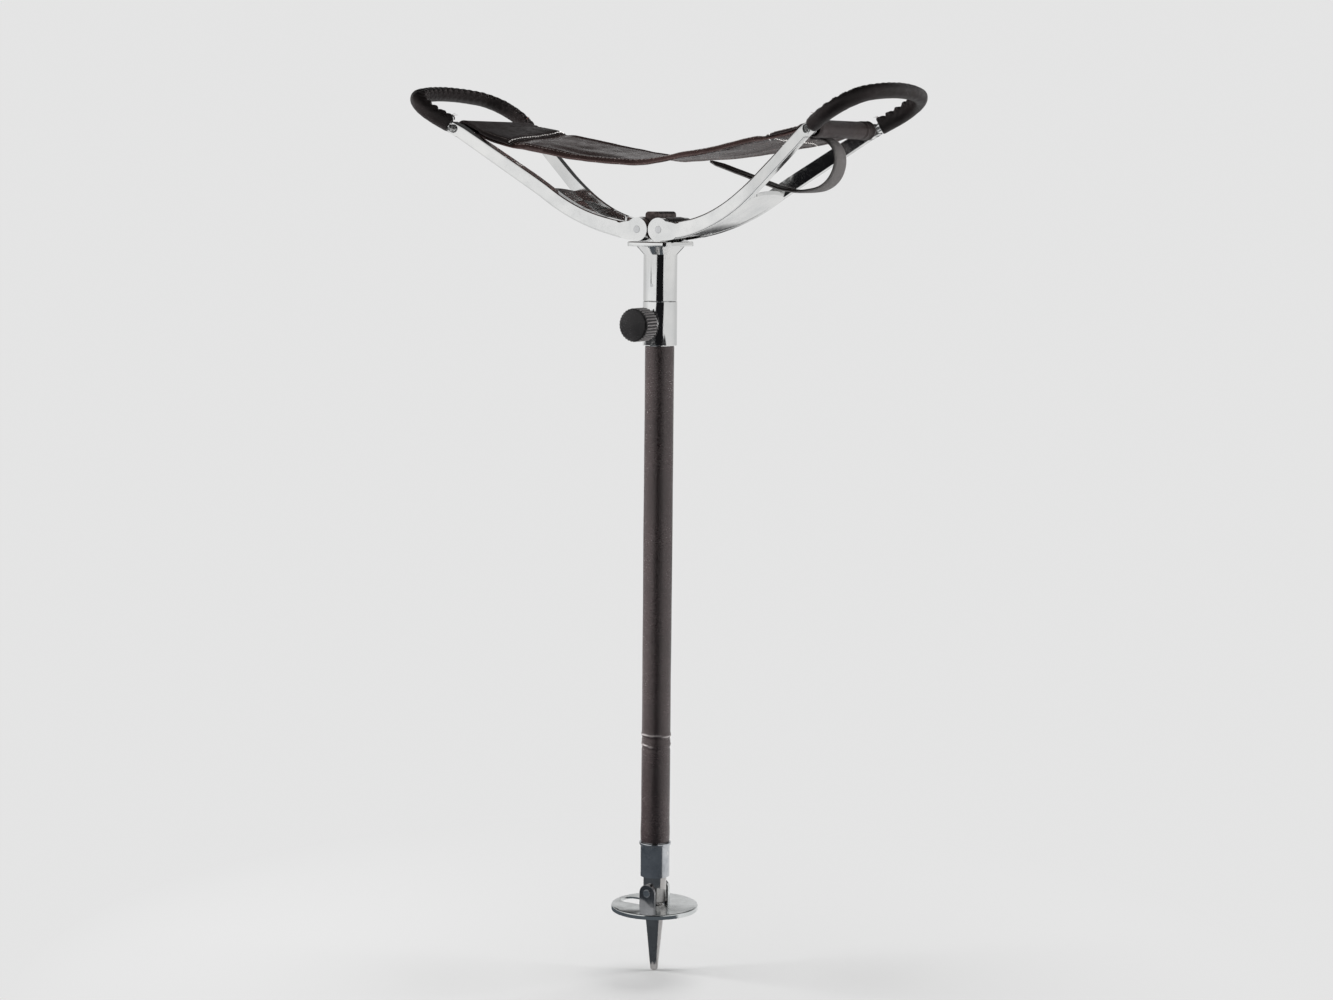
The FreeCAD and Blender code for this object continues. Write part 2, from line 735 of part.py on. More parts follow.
def head_casting():
    """The head: a socket for the inner tube, a flared neck, the flange and the knuckle block."""
    socket = upright(socket_radius, socket_bottom, socket_top)
    flare = Part.makeCone(socket_radius, flare_radius, flare_height, Vector(0, 0, socket_top))
    flange = Part.makeBox(flange_length, flange_width, flange_thickness,
                          Vector(-flange_length / 2, -flange_width / 2, flange_top - flange_thickness))
    flange = flange.makeFillet(flange_corner, [e for e in flange.Edges if e.BoundBox.ZLength > 1])
    flange = flange.makeChamfer(flange_edge, [e for e in flange.Edges if e.BoundBox.ZLength < 1])
    pins = [across(hinge_pin_radius + seat_gap, wide / 2, x, hinge_height) for x in (hinge_x, -hinge_x)]
    bore = upright(inner_radius + seat_gap, socket_bottom - overrun, socket_bottom + socket_bore_depth)
    solid = socket.fuse([flare, flange, knuckle_block()])
    return solid.cut(pins + [bore, socket_cross_hole()]).removeSplitter()


def hinge_pin(x):
    return across(hinge_pin_radius, lug_outer + hinge_pin_proud, x, hinge_height)


def hinge_washers():
    made = []
    for x in (hinge_x, -hinge_x):
        for side in (1, -1):
            start = Vector(x, side * (block_half_width + washer_gap), hinge_height)
            disc = cylinder(washer_radius, washer_thickness, start, Vector(0, side, 0))
            made.append(disc.cut(across(hinge_pin_radius + seat_gap, wide / 2, x, hinge_height)))
    return Part.makeCompound(made)


def mirrored(shape):
    return shape.mirror(Vector(0, 0, 0), Vector(1, 0, 0))


def pieces():
    """Every piece by its node's name."""
    made = {
        "shaft_tube": shaft_tube(), "shaft_cover": shaft_cover(), "clamp_collar": clamp_collar(),
        "collar_bush": collar_bush(), "ferrule": ferrule(), "ferrule_pin": ferrule_pin(),
        "ground_spike": ground_spike(), "disc_pivot_pin": disc_pivot_pin(), "foot_disc": foot_disc(),
        "disc_ear_near": ear(-1), "disc_ear_far": ear(1), "clamp_pad": clamp_pad(), "knob": knob(),
        "knob_screw": knob_screw(), "head_casting": head_casting(), "inner_tube": inner_tube(),
        "inner_tube_bush": inner_tube_bush(), "socket_pin": socket_pin(),
        "hinge_pin_left": hinge_pin(-hinge_x), "hinge_pin_right": hinge_pin(hinge_x),
        "hinge_washers": hinge_washers(), "seat_sling": seat_sling(), "wrist_strap": wrist_strap()}
    for name, shape in (("handle_frame", handle_frame()), ("cross_bar", cross_bar()),
                        ("bar_screws", bar_screws()), ("grip_cover", grip_cover()),
                        ("grip_lacing", grip_lacing())):
        made[name + "_right"] = shape
        made[name + "_left"] = mirrored(shape)
    return made


def main():
    os.makedirs("parts", exist_ok=True)
    for name, shape in pieces().items():
        shape.exportStep("parts/" + name + ".step")
        print(name, len(shape.Solids), round(shape.Volume), "valid" if shape.isValid() else "NOT VALID")


main()
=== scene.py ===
import bpy
import bmesh
from math import asin, atan2, ceil, cos, degrees, exp, pi, radians, sin, sqrt, tan
from mathutils import Matrix, Vector, noise


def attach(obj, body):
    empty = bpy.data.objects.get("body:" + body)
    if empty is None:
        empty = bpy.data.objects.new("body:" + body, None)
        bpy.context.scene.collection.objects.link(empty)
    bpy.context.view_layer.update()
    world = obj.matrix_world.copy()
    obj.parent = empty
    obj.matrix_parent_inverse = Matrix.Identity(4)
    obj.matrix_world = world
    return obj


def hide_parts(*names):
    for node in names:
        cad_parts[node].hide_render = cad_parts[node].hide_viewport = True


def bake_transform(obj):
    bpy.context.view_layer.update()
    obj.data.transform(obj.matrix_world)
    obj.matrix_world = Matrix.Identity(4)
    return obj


# Walking stick seat, in metres. Z runs up the shaft and the clamp knob points to -Y.

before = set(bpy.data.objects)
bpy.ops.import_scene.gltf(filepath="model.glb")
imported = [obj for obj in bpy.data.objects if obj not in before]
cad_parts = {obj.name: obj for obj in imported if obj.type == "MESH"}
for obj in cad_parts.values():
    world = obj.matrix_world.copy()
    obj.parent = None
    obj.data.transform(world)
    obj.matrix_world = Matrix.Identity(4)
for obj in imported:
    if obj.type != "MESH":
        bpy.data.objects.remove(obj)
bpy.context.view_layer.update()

mm = 0.001


def smoothStep(value, low, high):
    share = min(max((value - low) / (high - low), 0), 1)
    return share * share * (3 - 2 * share)


def bell(away, width):
    return exp(-(away / width) ** 2)


def placeNew(name, data):
    obj = bpy.data.objects.new(name, data)
    bpy.context.scene.collection.objects.link(obj)
    return obj


def finishMesh(mesh, material, sharpAngle, joinWithin, change=None):
    # joins doubled points, turns the faces outward and smooths all but the sharp edges
    build = bmesh.new()
    build.from_mesh(mesh)
    bmesh.ops.remove_doubles(build, verts=build.verts, dist=joinWithin)
    bmesh.ops.recalc_face_normals(build, faces=build.faces)
    if change:
        change(build)
    build.to_mesh(mesh)
    build.free()
    mesh.materials.clear()
    mesh.materials.append(material)
    mesh.polygons.foreach_set("use_smooth", [True] * len(mesh.polygons))
    mesh.set_sharp_from_angle(angle=radians(sharpAngle))


def makeObject(name, skin, material, sharpAngle):
    points, faces = skin
    mesh = bpy.data.meshes.new(name)
    mesh.from_pydata([tuple(p) for p in points], [], faces)
    mesh.update()
    finishMesh(mesh, material, sharpAngle, 1e-6)
    return placeNew(name, mesh)


def skinRings(rings, capped=True):
    # joins rings of points, each with the same count, to one skin
    count = len(rings[0])
    points = [p for ring in rings for p in ring]
    faces = [(low + j, low + (j + 1) % count, low + count + (j + 1) % count, low + count + j)
             for low in range(0, count * (len(rings) - 1), count) for j in range(count)]
    if capped:
        faces.append(tuple(range(count))[::-1])
        faces.append(tuple(range(count * (len(rings) - 1), count * len(rings))))
    return points, faces


def acrossSheet(across):
    # (face, v) round a flat section, out along one face and back along the other, v from -1 to 1
    return [(face, (-1 + 2 * j / across) * face) for face in (1, -1) for j in range(across + 1)]


def edgeRounding(inward, reach, share):
    # how much of a sheet's thickness is left at a distance inward from its side edge
    edge = 1 - smoothStep(inward, 0, reach)
    return sqrt(max(1 - edge * edge * share, 0))


def walkPath(start, heading, stretches, step):
    # points along stretches of (length, turn in degrees): (u, v, heading, distance)
    u, v = start
    angle = radians(heading)
    found = [(u, v, angle, 0.0)]
    run = 0.0
    for length, turn in stretches:
        bend = radians(turn)
        parts = max(ceil(length / step), 1)
        for k in range(1, parts + 1):
            share = k / parts
            swing = bend * share / 2
            chord = length * share * (sin(swing) / swing if abs(swing) > 1e-9 else 1)
            found.append((u + chord * cos(angle + swing), v + chord * sin(angle + swing),
                          angle + bend * share, run + length * share))
        u, v = found[-1][:2]
        angle += bend
        run += length
    return found


def feed(tree, node, inputs):
    # links each named input to a socket or a node's first output, or sets it to a value or a colour
    for key, value in inputs.items():
        if isinstance(value, bpy.types.Node):
            value = value.outputs[0]
        if isinstance(value, bpy.types.NodeSocket):
            tree.links.new(value, node.inputs[key])
        elif node.inputs[key].type == "RGBA":
            node.inputs[key].default_value = (*value, 1)
        else:
            node.inputs[key].default_value = value


def nodeOf(tree, kind, inputs=None, **settings):
    # a kind without "Node" in it is a shader's
    node = tree.nodes.new(kind if "Node" in kind else "ShaderNode" + kind)
    for key, value in settings.items():
        setattr(node, key, value)
    feed(tree, node, inputs or {})
    return node


def objectPlace(tree, stretch=(1, 1, 1), shift=(0, 0, 0)):
    place = nodeOf(tree, "TexCoord").outputs["Object"]
    return nodeOf(tree, "Mapping", {"Vector": place, "Scale": stretch, "Location": shift}).outputs[0]


def noiseField(tree, scale, detail=4, rough=0.5, stretch=(1, 1, 1), shift=(0, 0, 0), twist=0):
    return nodeOf(tree, "TexNoise", {
        "Vector": objectPlace(tree, stretch, shift), "Scale": scale, "Detail": detail, "Roughness": rough,
        "Distortion": twist}).outputs["Fac"]


def cellField(tree, scale):
    return nodeOf(tree, "TexVoronoi", {"Vector": objectPlace(tree), "Scale": scale},
                  feature="DISTANCE_TO_EDGE").outputs["Distance"]


def ranged(tree, source, low, high, toLow=0, toHigh=1):
    return nodeOf(tree, "MapRange", {"Value": source, "From Min": low, "From Max": high, "To Min": toLow,
                                     "To Max": toHigh}).outputs["Result"]


def mixed(tree, share, first, second):
    # a colour between two, by a field or a number
    return nodeOf(tree, "Mix", {0: share, 6: first, 7: second}, data_type="RGBA").outputs[2]


def combined(tree, operation, first, second=0):
    return nodeOf(tree, "Math", {0: first, 1: second}, operation=operation).outputs[0]


def product(tree, first, *others):
    for factor in others:
        first = combined(tree, "MULTIPLY", first, factor)
    return first


def bumped(tree, heights):
    # stacks bumps of (field, depth in metres) and returns the last normal
    given = {}
    for field, depth in heights:
        given.update({"Height": field, "Strength": 1, "Distance": depth})
        given["Normal"] = nodeOf(tree, "Bump", given).outputs["Normal"]
    return given["Normal"]


def recolour(mat, share, colour):
    # turns a material's colour into another one where share is high
    tree = mat.node_tree
    shader = tree.nodes["Principled BSDF"]
    tone = shader.inputs["Base Color"].links[0].from_socket
    feed(tree, shader, {"Base Color": mixed(tree, share, tone, colour)})


def newMaterial(name):
    mat = bpy.data.materials.new(name)
    mat.use_nodes = True
    return mat, mat.node_tree, mat.node_tree.nodes["Principled BSDF"]


def makeMetal(name, bright, dull, roughLow, roughHigh, scratchDepth=1e-5, waveDepth=1e-4,
              stretch=(1, 1, 1), dirt=0.0, dirtColour=(0.05, 0.045, 0.04), dirtScale=60):
    # polished or worn metal: smudges in the gloss, fine scratches, slow waves and some dirt
    mat, tree, shader = newMaterial(name)
    smudge = noiseField(tree, 35, 5, 0.6, shift=(0.3, 0.1, 0.2))
    tone = mixed(tree, ranged(tree, smudge, 0.35, 0.7), bright, dull)
    if dirt:
        spots = noiseField(tree, dirtScale, 8, 0.7, shift=(0.7, 0.4, 0.9), twist=0.4)
        spotShare = ranged(tree, spots, 0.56, 0.72, 0, dirt)
        tone = mixed(tree, spotShare, tone, dirtColour)
    scuffs = noiseField(tree, 400, 3, 0.6, stretch=stretch)
    rough = combined(tree, "ADD", ranged(tree, smudge, 0.3, 0.75, roughLow, roughHigh),
                     ranged(tree, scuffs, 0.55, 0.8, 0, 0.12))
    waves = noiseField(tree, 22, 2, 0.4, shift=(0.5, 0.9, 0.1))
    feed(tree, shader, {"Base Color": tone, "Metallic": 1, "Roughness": rough,
                        "Normal": bumped(tree, [(waves, waveDepth), (scuffs, scratchDepth)])})
    return mat


def makeLeather(name, dark, light, roughLow, roughHigh, grainScale=1400, grainDepth=8e-5,
                creaseDepth=12e-5, creaseStretch=(1, 1, 1), streaks=None, gloss=0.5):
    # grained leather: pebbles from cells, soft creases, and a tone that wanders
    mat, tree, shader = newMaterial(name)
    cloud = noiseField(tree, 30, 5, 0.6, shift=(0.2, 0.6, 0.1))
    pebble = cellField(tree, grainScale)
    crease = noiseField(tree, 160, 6, 0.65, stretch=creaseStretch, twist=0.6)
    tone = mixed(tree, ranged(tree, cloud, 0.3, 0.72), dark, light)
    if streaks:
        worn = noiseField(tree, 90, 6, 0.7, stretch=creaseStretch, shift=(0.9, 0.2, 0.4))
        tone = mixed(tree, ranged(tree, worn, 0.58, 0.78, 0, streaks[0]), tone, streaks[1])
    dips = mixed(tree, ranged(tree, pebble, 0, 0.25, 0.45, 0), tone, tuple(c * 0.5 for c in dark))
    rough = combined(tree, "ADD", ranged(tree, cloud, 0.3, 0.7, roughLow, roughHigh),
                     ranged(tree, crease, 0.4, 0.7, -0.05, 0.08))
    domes = ranged(tree, pebble, 0, 0.3)
    feed(tree, shader, {"Base Color": dips, "Roughness": rough, "Specular IOR Level": gloss,
                        "Specular Tint": (1, 0.93, 0.92),
                        "Normal": bumped(tree, [(crease, creaseDepth), (domes, grainDepth)])})
    return mat


def makePlain(name, dark, light, rough, scale, depth=2e-5):
    # a moulded or drawn surface with a fine tooth
    mat, tree, shader = newMaterial(name)
    fine = noiseField(tree, scale, 5, 0.6)
    cloud = noiseField(tree, scale / 12, 3, 0.5, shift=(0.4, 0.2, 0.7))
    feed(tree, shader, {
        "Base Color": mixed(tree, ranged(tree, cloud, 0.3, 0.7), dark, light),
        "Roughness": ranged(tree, fine, 0.3, 0.7, rough - 0.06, rough + 0.08),
        "Normal": bumped(tree, [(fine, depth)])})
    return mat


polished = makeMetal("polishedMetal", (0.83, 0.83, 0.82), (0.72, 0.73, 0.73), 0.07, 0.2,
                     scratchDepth=4e-6, waveDepth=25e-5, dirt=0.1, dirtColour=(0.3, 0.29, 0.28))
brushed = makeMetal("brightSteel", (0.75, 0.75, 0.76), (0.6, 0.61, 0.62), 0.14, 0.3,
                    scratchDepth=8e-6, stretch=(1, 1, 0.05))
wornSteel = makeMetal("wornSteel", (0.74, 0.75, 0.77), (0.42, 0.44, 0.47), 0.09, 0.24,
                      scratchDepth=2e-5, stretch=(1, 1, 0.08), dirt=0.5,
                      dirtColour=(0.16, 0.16, 0.17), dirtScale=140)
discMetal = makeMetal("discMetal", (0.84, 0.86, 0.86), (0.68, 0.7, 0.7), 0.1, 0.28,
                      scratchDepth=12e-6, waveDepth=2e-4, dirt=0.28, dirtColour=(0.3, 0.3, 0.29))
spikeSteel = makeMetal("spikeSteel", (0.56, 0.545, 0.535), (0.36, 0.345, 0.34), 0.09, 0.2,
                       scratchDepth=2e-5, stretch=(1, 1, 0.06), dirt=0.5, dirtScale=200)
# a darker copy of the ears' metal for the near ear only: painted shade in place of the dark it mirrors
shadedEarSteel = makeMetal("shadedEarSteel", (0.31, 0.31, 0.32), (0.19, 0.19, 0.2), 0.1, 0.22,
                     scratchDepth=2e-5, stretch=(1, 1, 0.06), dirt=0.5, dirtScale=200)


def tarnish(mat, low, high, colour):
    # darkens and dulls a metal above a height, with an uneven border
    tree = mat.node_tree
    shader = tree.nodes["Principled BSDF"]
    place = nodeOf(tree, "SeparateXYZ", {0: objectPlace(tree)})
    uneven = noiseField(tree, 260, 5, 0.6, shift=(0.1, 0.8, 0.3))
    height = combined(tree, "ADD", place.outputs["Z"], ranged(tree, uneven, 0.3, 0.7, -0.0012, 0.0012))
    share = ranged(tree, height, low, high)
    paler = tuple(c * 2.6 for c in colour)
    recolour(mat, share, mixed(tree, ranged(tree, uneven, 0.4, 0.62), colour, paler))
    rough = shader.inputs["Roughness"].links[0].from_socket
    feed(tree, shader, {"Roughness": combined(tree, "ADD", rough, product(tree, share, 0.22))})


headMetal, collarMetal = (
    makeMetal(name, (0.83, 0.83, 0.82), (0.75, 0.76, 0.76), 0.05, 0.13, scratchDepth=4e-6,
              waveDepth=8e-5, dirt=0.1, dirtColour=(0.3, 0.29, 0.28))
    for name in ("headMetal", "collarMetal"))
tarnish(headMetal, low=0.5762, high=0.5776, colour=(0.045, 0.036, 0.034))
blackPlastic = makePlain("blackPlastic", (0.005, 0.0047, 0.0049), (0.01, 0.0094, 0.0097), 0.3, 900)
# where the knob's rib crests get their painted highlight, its colour, and the plastic's gloss
knobRibHighlight = {"height": 0.50655, "grooves": 0.0132, "crests": 0.01375, "colour": (0.075, 0.07, 0.07),
            "gloss": 0.3}


def paintRibHighlights(mat):
    # the crests of the knob's ribs are painted paler than the grooves between them: a painted highlight
    tree = mat.node_tree
    fromAxis = objectPlace(tree, shift=(0, 0, -knobRibHighlight["height"]))
    place = nodeOf(tree, "SeparateXYZ", {0: fromAxis}).outputs
    squares = [product(tree, place[axis], place[axis]) for axis in ("X", "Z")]
    reach = combined(tree, "SQRT", combined(tree, "ADD", *squares))
    recolour(mat, ranged(tree, reach, knobRibHighlight["grooves"], knobRibHighlight["crests"]), knobRibHighlight["colour"])
    feed(tree, tree.nodes["Principled BSDF"], {"Specular IOR Level": knobRibHighlight["gloss"]})


paintRibHighlights(blackPlastic)
bushPlastic = makePlain("bushPlastic", (0.03, 0.03, 0.03), (0.05, 0.05, 0.05), 0.5, 300)
brass = makeMetal("brass", (0.72, 0.5, 0.22), (0.6, 0.4, 0.17), 0.2, 0.35)
coverLeather = makeLeather("coverLeather", (0.013, 0.0082, 0.0084), (0.025, 0.0165, 0.017), 0.17, 0.27,
                           grainScale=1100, creaseDepth=2e-4, creaseStretch=(1, 1, 4),
                           streaks=(0.3, (0.1, 0.082, 0.08)), gloss=1.0)
gripLeather = makeLeather("gripLeather", (0.003, 0.002, 0.002), (0.007, 0.005, 0.005), 0.34, 0.5, gloss=0.3)
seatLeather = makeLeather("seatLeather", (0.026, 0.0145, 0.0132), (0.05, 0.031, 0.029), 0.24, 0.33,
                          grainDepth=1e-5, creaseDepth=3e-5, streaks=(0.35, (0.12, 0.09, 0.086)),
                          gloss=0.4)
hemLeather = makeLeather("hemLeather", (0.009, 0.006, 0.006), (0.018, 0.0128, 0.0124), 0.36, 0.52)
strapLeather = makeLeather("strapLeather", (0.058, 0.055, 0.054), (0.095, 0.09, 0.089), 0.45, 0.62,
                           grainScale=900, grainDepth=15e-5)
strapLining = makeLeather("strapLining", (0.006, 0.005, 0.005), (0.013, 0.011, 0.011), 0.45, 0.6)
darkEdge = makePlain("darkEdge", (0.01, 0.009, 0.009), (0.02, 0.017, 0.017), 0.5, 500)
threadPale, threadDark, threadEdge, threadTail = (
    makePlain(name, dark, light, rough, 1500, 5e-5) for name, dark, light, rough in (
        ("threadPale", (0.62, 0.59, 0.57), (0.78, 0.76, 0.74), 0.6),
        ("threadDark", (0.012, 0.009, 0.009), (0.026, 0.021, 0.021), 0.55),
        ("threadEdge", (0.09, 0.075, 0.07), (0.2, 0.17, 0.16), 0.55),
        ("threadTail", (0.06, 0.028, 0.022), (0.11, 0.055, 0.04), 0.6)))
print("materials made")


# the hard pieces are copies of the solids with rounded edges; which edges of the arms take it:
armRims = {"shortest": 0.0016, "fromX": 0.024, "fromY": 0.018, "faceArea": 1e-5, "sideways": 0.85,
           "across": 0.4}


def markArmRims(build):
    # the long outer edges of a handle's two arms take the rounding, its small corners do not
    weight = build.edges.layers.float.new("bevel_weight_edge")
    for rim in build.edges:
        near = min(abs(v.co.x) for v in rim.verts)
        if len(rim.link_faces) != 2 or rim.calc_length() < armRims["shortest"] or near < armRims["fromX"]:
            continue
        y = rim.verts[0].co.y
        (across, _), (sideways, area) = sorted((f.normal.y * (1 if y > 0 else -1), f.calc_area())
                                               for f in rim.link_faces)
        if abs(y) > armRims["fromY"] and sideways > armRims["sideways"] and area > armRims["faceArea"] \
                and across < armRims["across"]:
            rim[weight] = 1


def roundedCopy(node, body, material, edge):
    joinAngle, sharpAngle = 0.6, 38
    onArms = node.startswith("handle_frame")

    def flatten(build):
        bmesh.ops.dissolve_limit(build, angle_limit=radians(joinAngle), verts=build.verts,
                                 edges=build.edges)
        if onArms:
            markArmRims(build)

    mesh = bpy.data.objects[node].data.copy()
    finishMesh(mesh, material, sharpAngle, 2e-6, flatten)
    obj = placeNew(node + "_shown", mesh)
    bevel = obj.modifiers.new("edge", "BEVEL")
    bevel.width = edge * mm
    bevel.segments = 3
    bevel.limit_method = "WEIGHT" if onArms else "ANGLE"
    bevel.angle_limit = radians(sharpAngle)
    bevel.harden_normals = not onArms
    bevel.use_clamp_overlap = not onArms
    if onArms:
        shading = obj.modifiers.new("shading", "WEIGHTED_NORMAL")
        shading.mode = "FACE_AREA"
        shading.keep_sharp = True
    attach(obj, body)
    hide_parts(node)


# node, body, material and the width of its rounding in millimetres
hardPieces = [(node + name, "handle_" + name, material, edge) for node, material, edge in (
    ("handle_frame_", polished, 1.5), ("cross_bar_", brushed, 0.4), ("bar_screws_", brushed, 0.25))
    for name in ("left", "right")]
hardPieces += [
    ("head_casting", "head", headMetal, 0.7),
    ("clamp_collar", "shaft", collarMetal, 0.5),
    ("hinge_pin_left", "head", brushed, 0.2),
    ("hinge_pin_right", "head", brushed, 0.2),
    ("hinge_washers", "head", brushed, 0.1),
    ("ferrule", "shaft", wornSteel, 0.3),
    ("ground_spike", "shaft", spikeSteel, 0.3),
    ("foot_disc", "foot_disc", discMetal, 0.3),
    # the near ear takes the darker copy of the ears' metal: painted shade
    ("disc_ear_near", "foot_disc", shadedEarSteel, 0.5),
    ("disc_ear_far", "foot_disc", discMetal, 0.5),
    ("disc_pivot_pin", "shaft", wornSteel, 0.25),
    ("knob", "knob", blackPlastic, 0.35),
]
for node, body, material, edge in hardPieces:
    roundedCopy(node, body, material, edge)
for node, material in (("shaft_tube", brushed), ("collar_bush", bushPlastic), ("ferrule_pin", brushed),
                       ("clamp_pad", brass), ("knob_screw", brushed), ("inner_tube", brushed),
                       ("inner_tube_bush", bushPlastic), ("socket_pin", brushed)):
    worn = bpy.data.objects[node].data.materials
    worn.clear()
    worn.append(material)
print("hard pieces made")


# stitches, placed along paths by a node tree
stitchTree = bpy.data.node_groups.new("stitchesAlongPath", "GeometryNodeTree")


def makeStitchTree(tree):
    sockets = {"Path": "Geometry", "Pitch": "Float", "Length": "Float", "Thread": "Float", "Rise": "Float",
               "Slant": "Float", "Jitter": "Float", "Seed": "Int", "Material": "Material"}
    for name, kind in sockets.items():
        tree.interface.new_socket(name, in_out="INPUT", socket_type="NodeSocket" + kind)
    tree.interface.new_socket("Stitches", in_out="OUTPUT", socket_type="NodeSocketGeometry")
    given = nodeOf(tree, "NodeGroupInput").outputs

    curve = nodeOf(tree, "GeometryNodeMeshToCurve", {0: given["Path"]})
    spaced = nodeOf(tree, "GeometryNodeResampleCurve", {"Curve": curve, "Length": given["Pitch"]},
                    mode="LENGTH")

    # one stitch: a low arch of thread, its ends dipped into the leather
    arch = nodeOf(tree, "GeometryNodeCurvePrimitiveBezierSegment", {"Resolution": 5})
    for point, share, rise in (("Start", -0.5, -1.0), ("Start Handle", -0.3, 1.0), ("End Handle", 0.3, 1.0),
                               ("End", 0.5, -1.0)):
        place = {"X": product(tree, given["Length"], share), "Z": product(tree, given["Rise"], rise)}
        feed(tree, arch, {point: nodeOf(tree, "CombineXYZ", place)})
    section = nodeOf(tree, "GeometryNodeCurvePrimitiveCircle", {"Resolution": 6, "Radius": given["Thread"]})
    rope = nodeOf(tree, "GeometryNodeCurveToMesh", {
        "Curve": arch, "Profile Curve": section, "Fill Caps": True})

    # turned along the path, with the surface's own upward direction
    upward = nodeOf(tree, "GeometryNodeInputNamedAttribute", {"Name": "upward"}, data_type="FLOAT_VECTOR")
    along = nodeOf(tree, "GeometryNodeInputTangent")
    facing = nodeOf(tree, "FunctionNodeAxesToRotation", {0: upward, 1: along}, primary_axis="Z",
                    secondary_axis="X")
    wobble = nodeOf(tree, "FunctionNodeRandomValue", {
        2: product(tree, given["Jitter"], -1), 3: given["Jitter"], "Seed": given["Seed"]}, data_type="FLOAT")
    spin = nodeOf(tree, "CombineXYZ", {"Z": combined(tree, "ADD", wobble.outputs[1], given["Slant"])})
    asTurn = nodeOf(tree, "FunctionNodeEulerToRotation", {0: spin})
    rotate = nodeOf(tree, "FunctionNodeRotateRotation", {0: facing, 1: asTurn}, rotation_space="LOCAL")
    placed = nodeOf(tree, "GeometryNodeInstanceOnPoints", {
        "Points": spaced, "Instance": rope, "Rotation": rotate})
    real = nodeOf(tree, "GeometryNodeRealizeInstances", {0: placed})
    coloured = nodeOf(tree, "GeometryNodeSetMaterial", {"Geometry": real, "Material": given["Material"]})
    nodeOf(tree, "NodeGroupOutput", {0: coloured})


makeStitchTree(stitchTree)


def stitchRows(name, rows, settings, material):
    # rows is a list of paths of (point, upward). One plain mesh of stitches comes back.
    points, edges, ups = [], [], []
    for row in rows:
        first = len(points)
        points += [tuple(p) for p, _ in row]
        ups += [tuple(n) for _, n in row]
        edges += [(first + k, first + k + 1) for k in range(len(row) - 1)]
    mesh = bpy.data.meshes.new(name + "Path")
    mesh.from_pydata(points, edges, [])
    direction = mesh.attributes.new("upward", "FLOAT_VECTOR", "POINT")
    direction.data.foreach_set("vector", [c for up in ups for c in up])
    carrier = placeNew(name + "Path", mesh)
    layer = carrier.modifiers.new("stitches", "NODES")
    layer.node_group = stitchTree
    ids = {s.name: s.identifier for s in stitchTree.interface.items_tree if s.in_out == "INPUT"}
    for key, value in settings.items():
        layer[ids[key]] = value
    layer[ids["Material"]] = material
    graph = bpy.context.evaluated_depsgraph_get()
    finished = bpy.data.meshes.new_from_object(carrier.evaluated_get(graph))
    finished.name = name
    bpy.data.objects.remove(carrier)
    finished.polygons.foreach_set("use_smooth", [True] * len(finished.polygons))
    return placeNew(name, finished)


# the sling, in millimetres
sling = {
    "barX": 168.42, "barZ": 667.92, "barRadius": 4.5, "hemGap": 0.3, "leather": 2.3,
    "sag": 24.5, "rise": 2.5, "sagPower": 1.4, "half": 43.5, "hemHalf": 49.5, "flare": 10,
    "tilt": 1.6, "tiltChange": 0.035, "tiltPower": 5, "flapReach": 47, "foldWidth": 7,
    "foldRise": 0.8, "foldEdge": 0.7, "foldUnderFlap": 0.35, "seat": 0.05, "round": 1.2, "edgeStitch": 3.4,
    "hemStitch": 3.6, "across": 44, "step": 2.5, "bendReach": 100,
    "lump": 1.1, "lumpLength": 38, "lumpsAcross": 1.3,
    "ripple": 0.35, "rippleLength": 12, "ripplesAcross": 3.5,
    "dent": 1.9, "dentX": -48, "dentLength": 34, "dentV": -0.62, "dentWidth": 0.22,
    "lip": 2.4, "lipFrom": 0.85, "calmTo": 6, "fullFrom": 30,
    "crumple": 0.75, "crumplePitch": 5.6, "crumpleFrom": 26, "crumpleTo": 36,
}
barX, barZ = sling["barX"], sling["barZ"]
halfLeather = sling["leather"] / 2
flapEnd = barX - sling["flapReach"]


def slingMiddle(x):
    away = min(abs(x) / barX, 1) ** sling["sagPower"]
    return barZ + sling["rise"] - (sling["sag"] + sling["rise"]) * (1 - away)


def slingLift(x):
    fade = 1 - min(abs(x) / barX, 1) ** sling["tiltPower"]
    return (sling["tilt"] - sling["tiltChange"] * x) * fade


def slingHalf(x):
    spread = sling["hemHalf"] - sling["half"]
    return sling["half"] + spread * min(abs(x) / barX, 1) ** sling["flare"]


def slingWaves(x, v):
    # small rises and dips of the leather, none at the bars; v runs from -1 to 1 across it
    lump = sling["lump"] * noise.noise(Vector((x / sling["lumpLength"], v * sling["lumpsAcross"], 4.2)))
    ripple = sling["ripple"] * noise.noise(
        Vector((x / sling["rippleLength"], v * sling["ripplesAcross"], 9.1)))
    dent = sling["dent"] * bell(x - sling["dentX"], sling["dentLength"]) * bell(
        v - sling["dentV"], sling["dentWidth"])
    lip = sling["lip"] * smoothStep(abs(v), sling["lipFrom"], 1.03)
    calm = smoothStep(abs(abs(x) - barX), sling["calmTo"], sling["fullFrom"])
    return (lump + ripple - dent - lip) * calm


def flapDrop(x):
    # how far the sheet sinks below the hem's flap
    return (halfLeather + sling["seat"]) * smoothStep(abs(x), flapEnd - 12, flapEnd - 1)


def edgeFold(x, v):
    # the sheet is doubled along its side edges
    inward = slingHalf(x) * (1 - abs(v))
    low, high = sling["foldWidth"] - sling["foldEdge"], sling["foldWidth"] + sling["foldEdge"]
    return sling["foldRise"] * (1 - smoothStep(inward, low, high))


def foldLeft(x):
    # the share of that fold that stays beside the flap
    return 1 - flapDrop(x) / (halfLeather + sling["seat"]) * 0.65


def flapThickness(x):
    # half the flap's thickness, skived thin at its end
    full = smoothStep(abs(x) - flapEnd, 0, 9)
    return halfLeather * (0.3 + 0.7 * full)


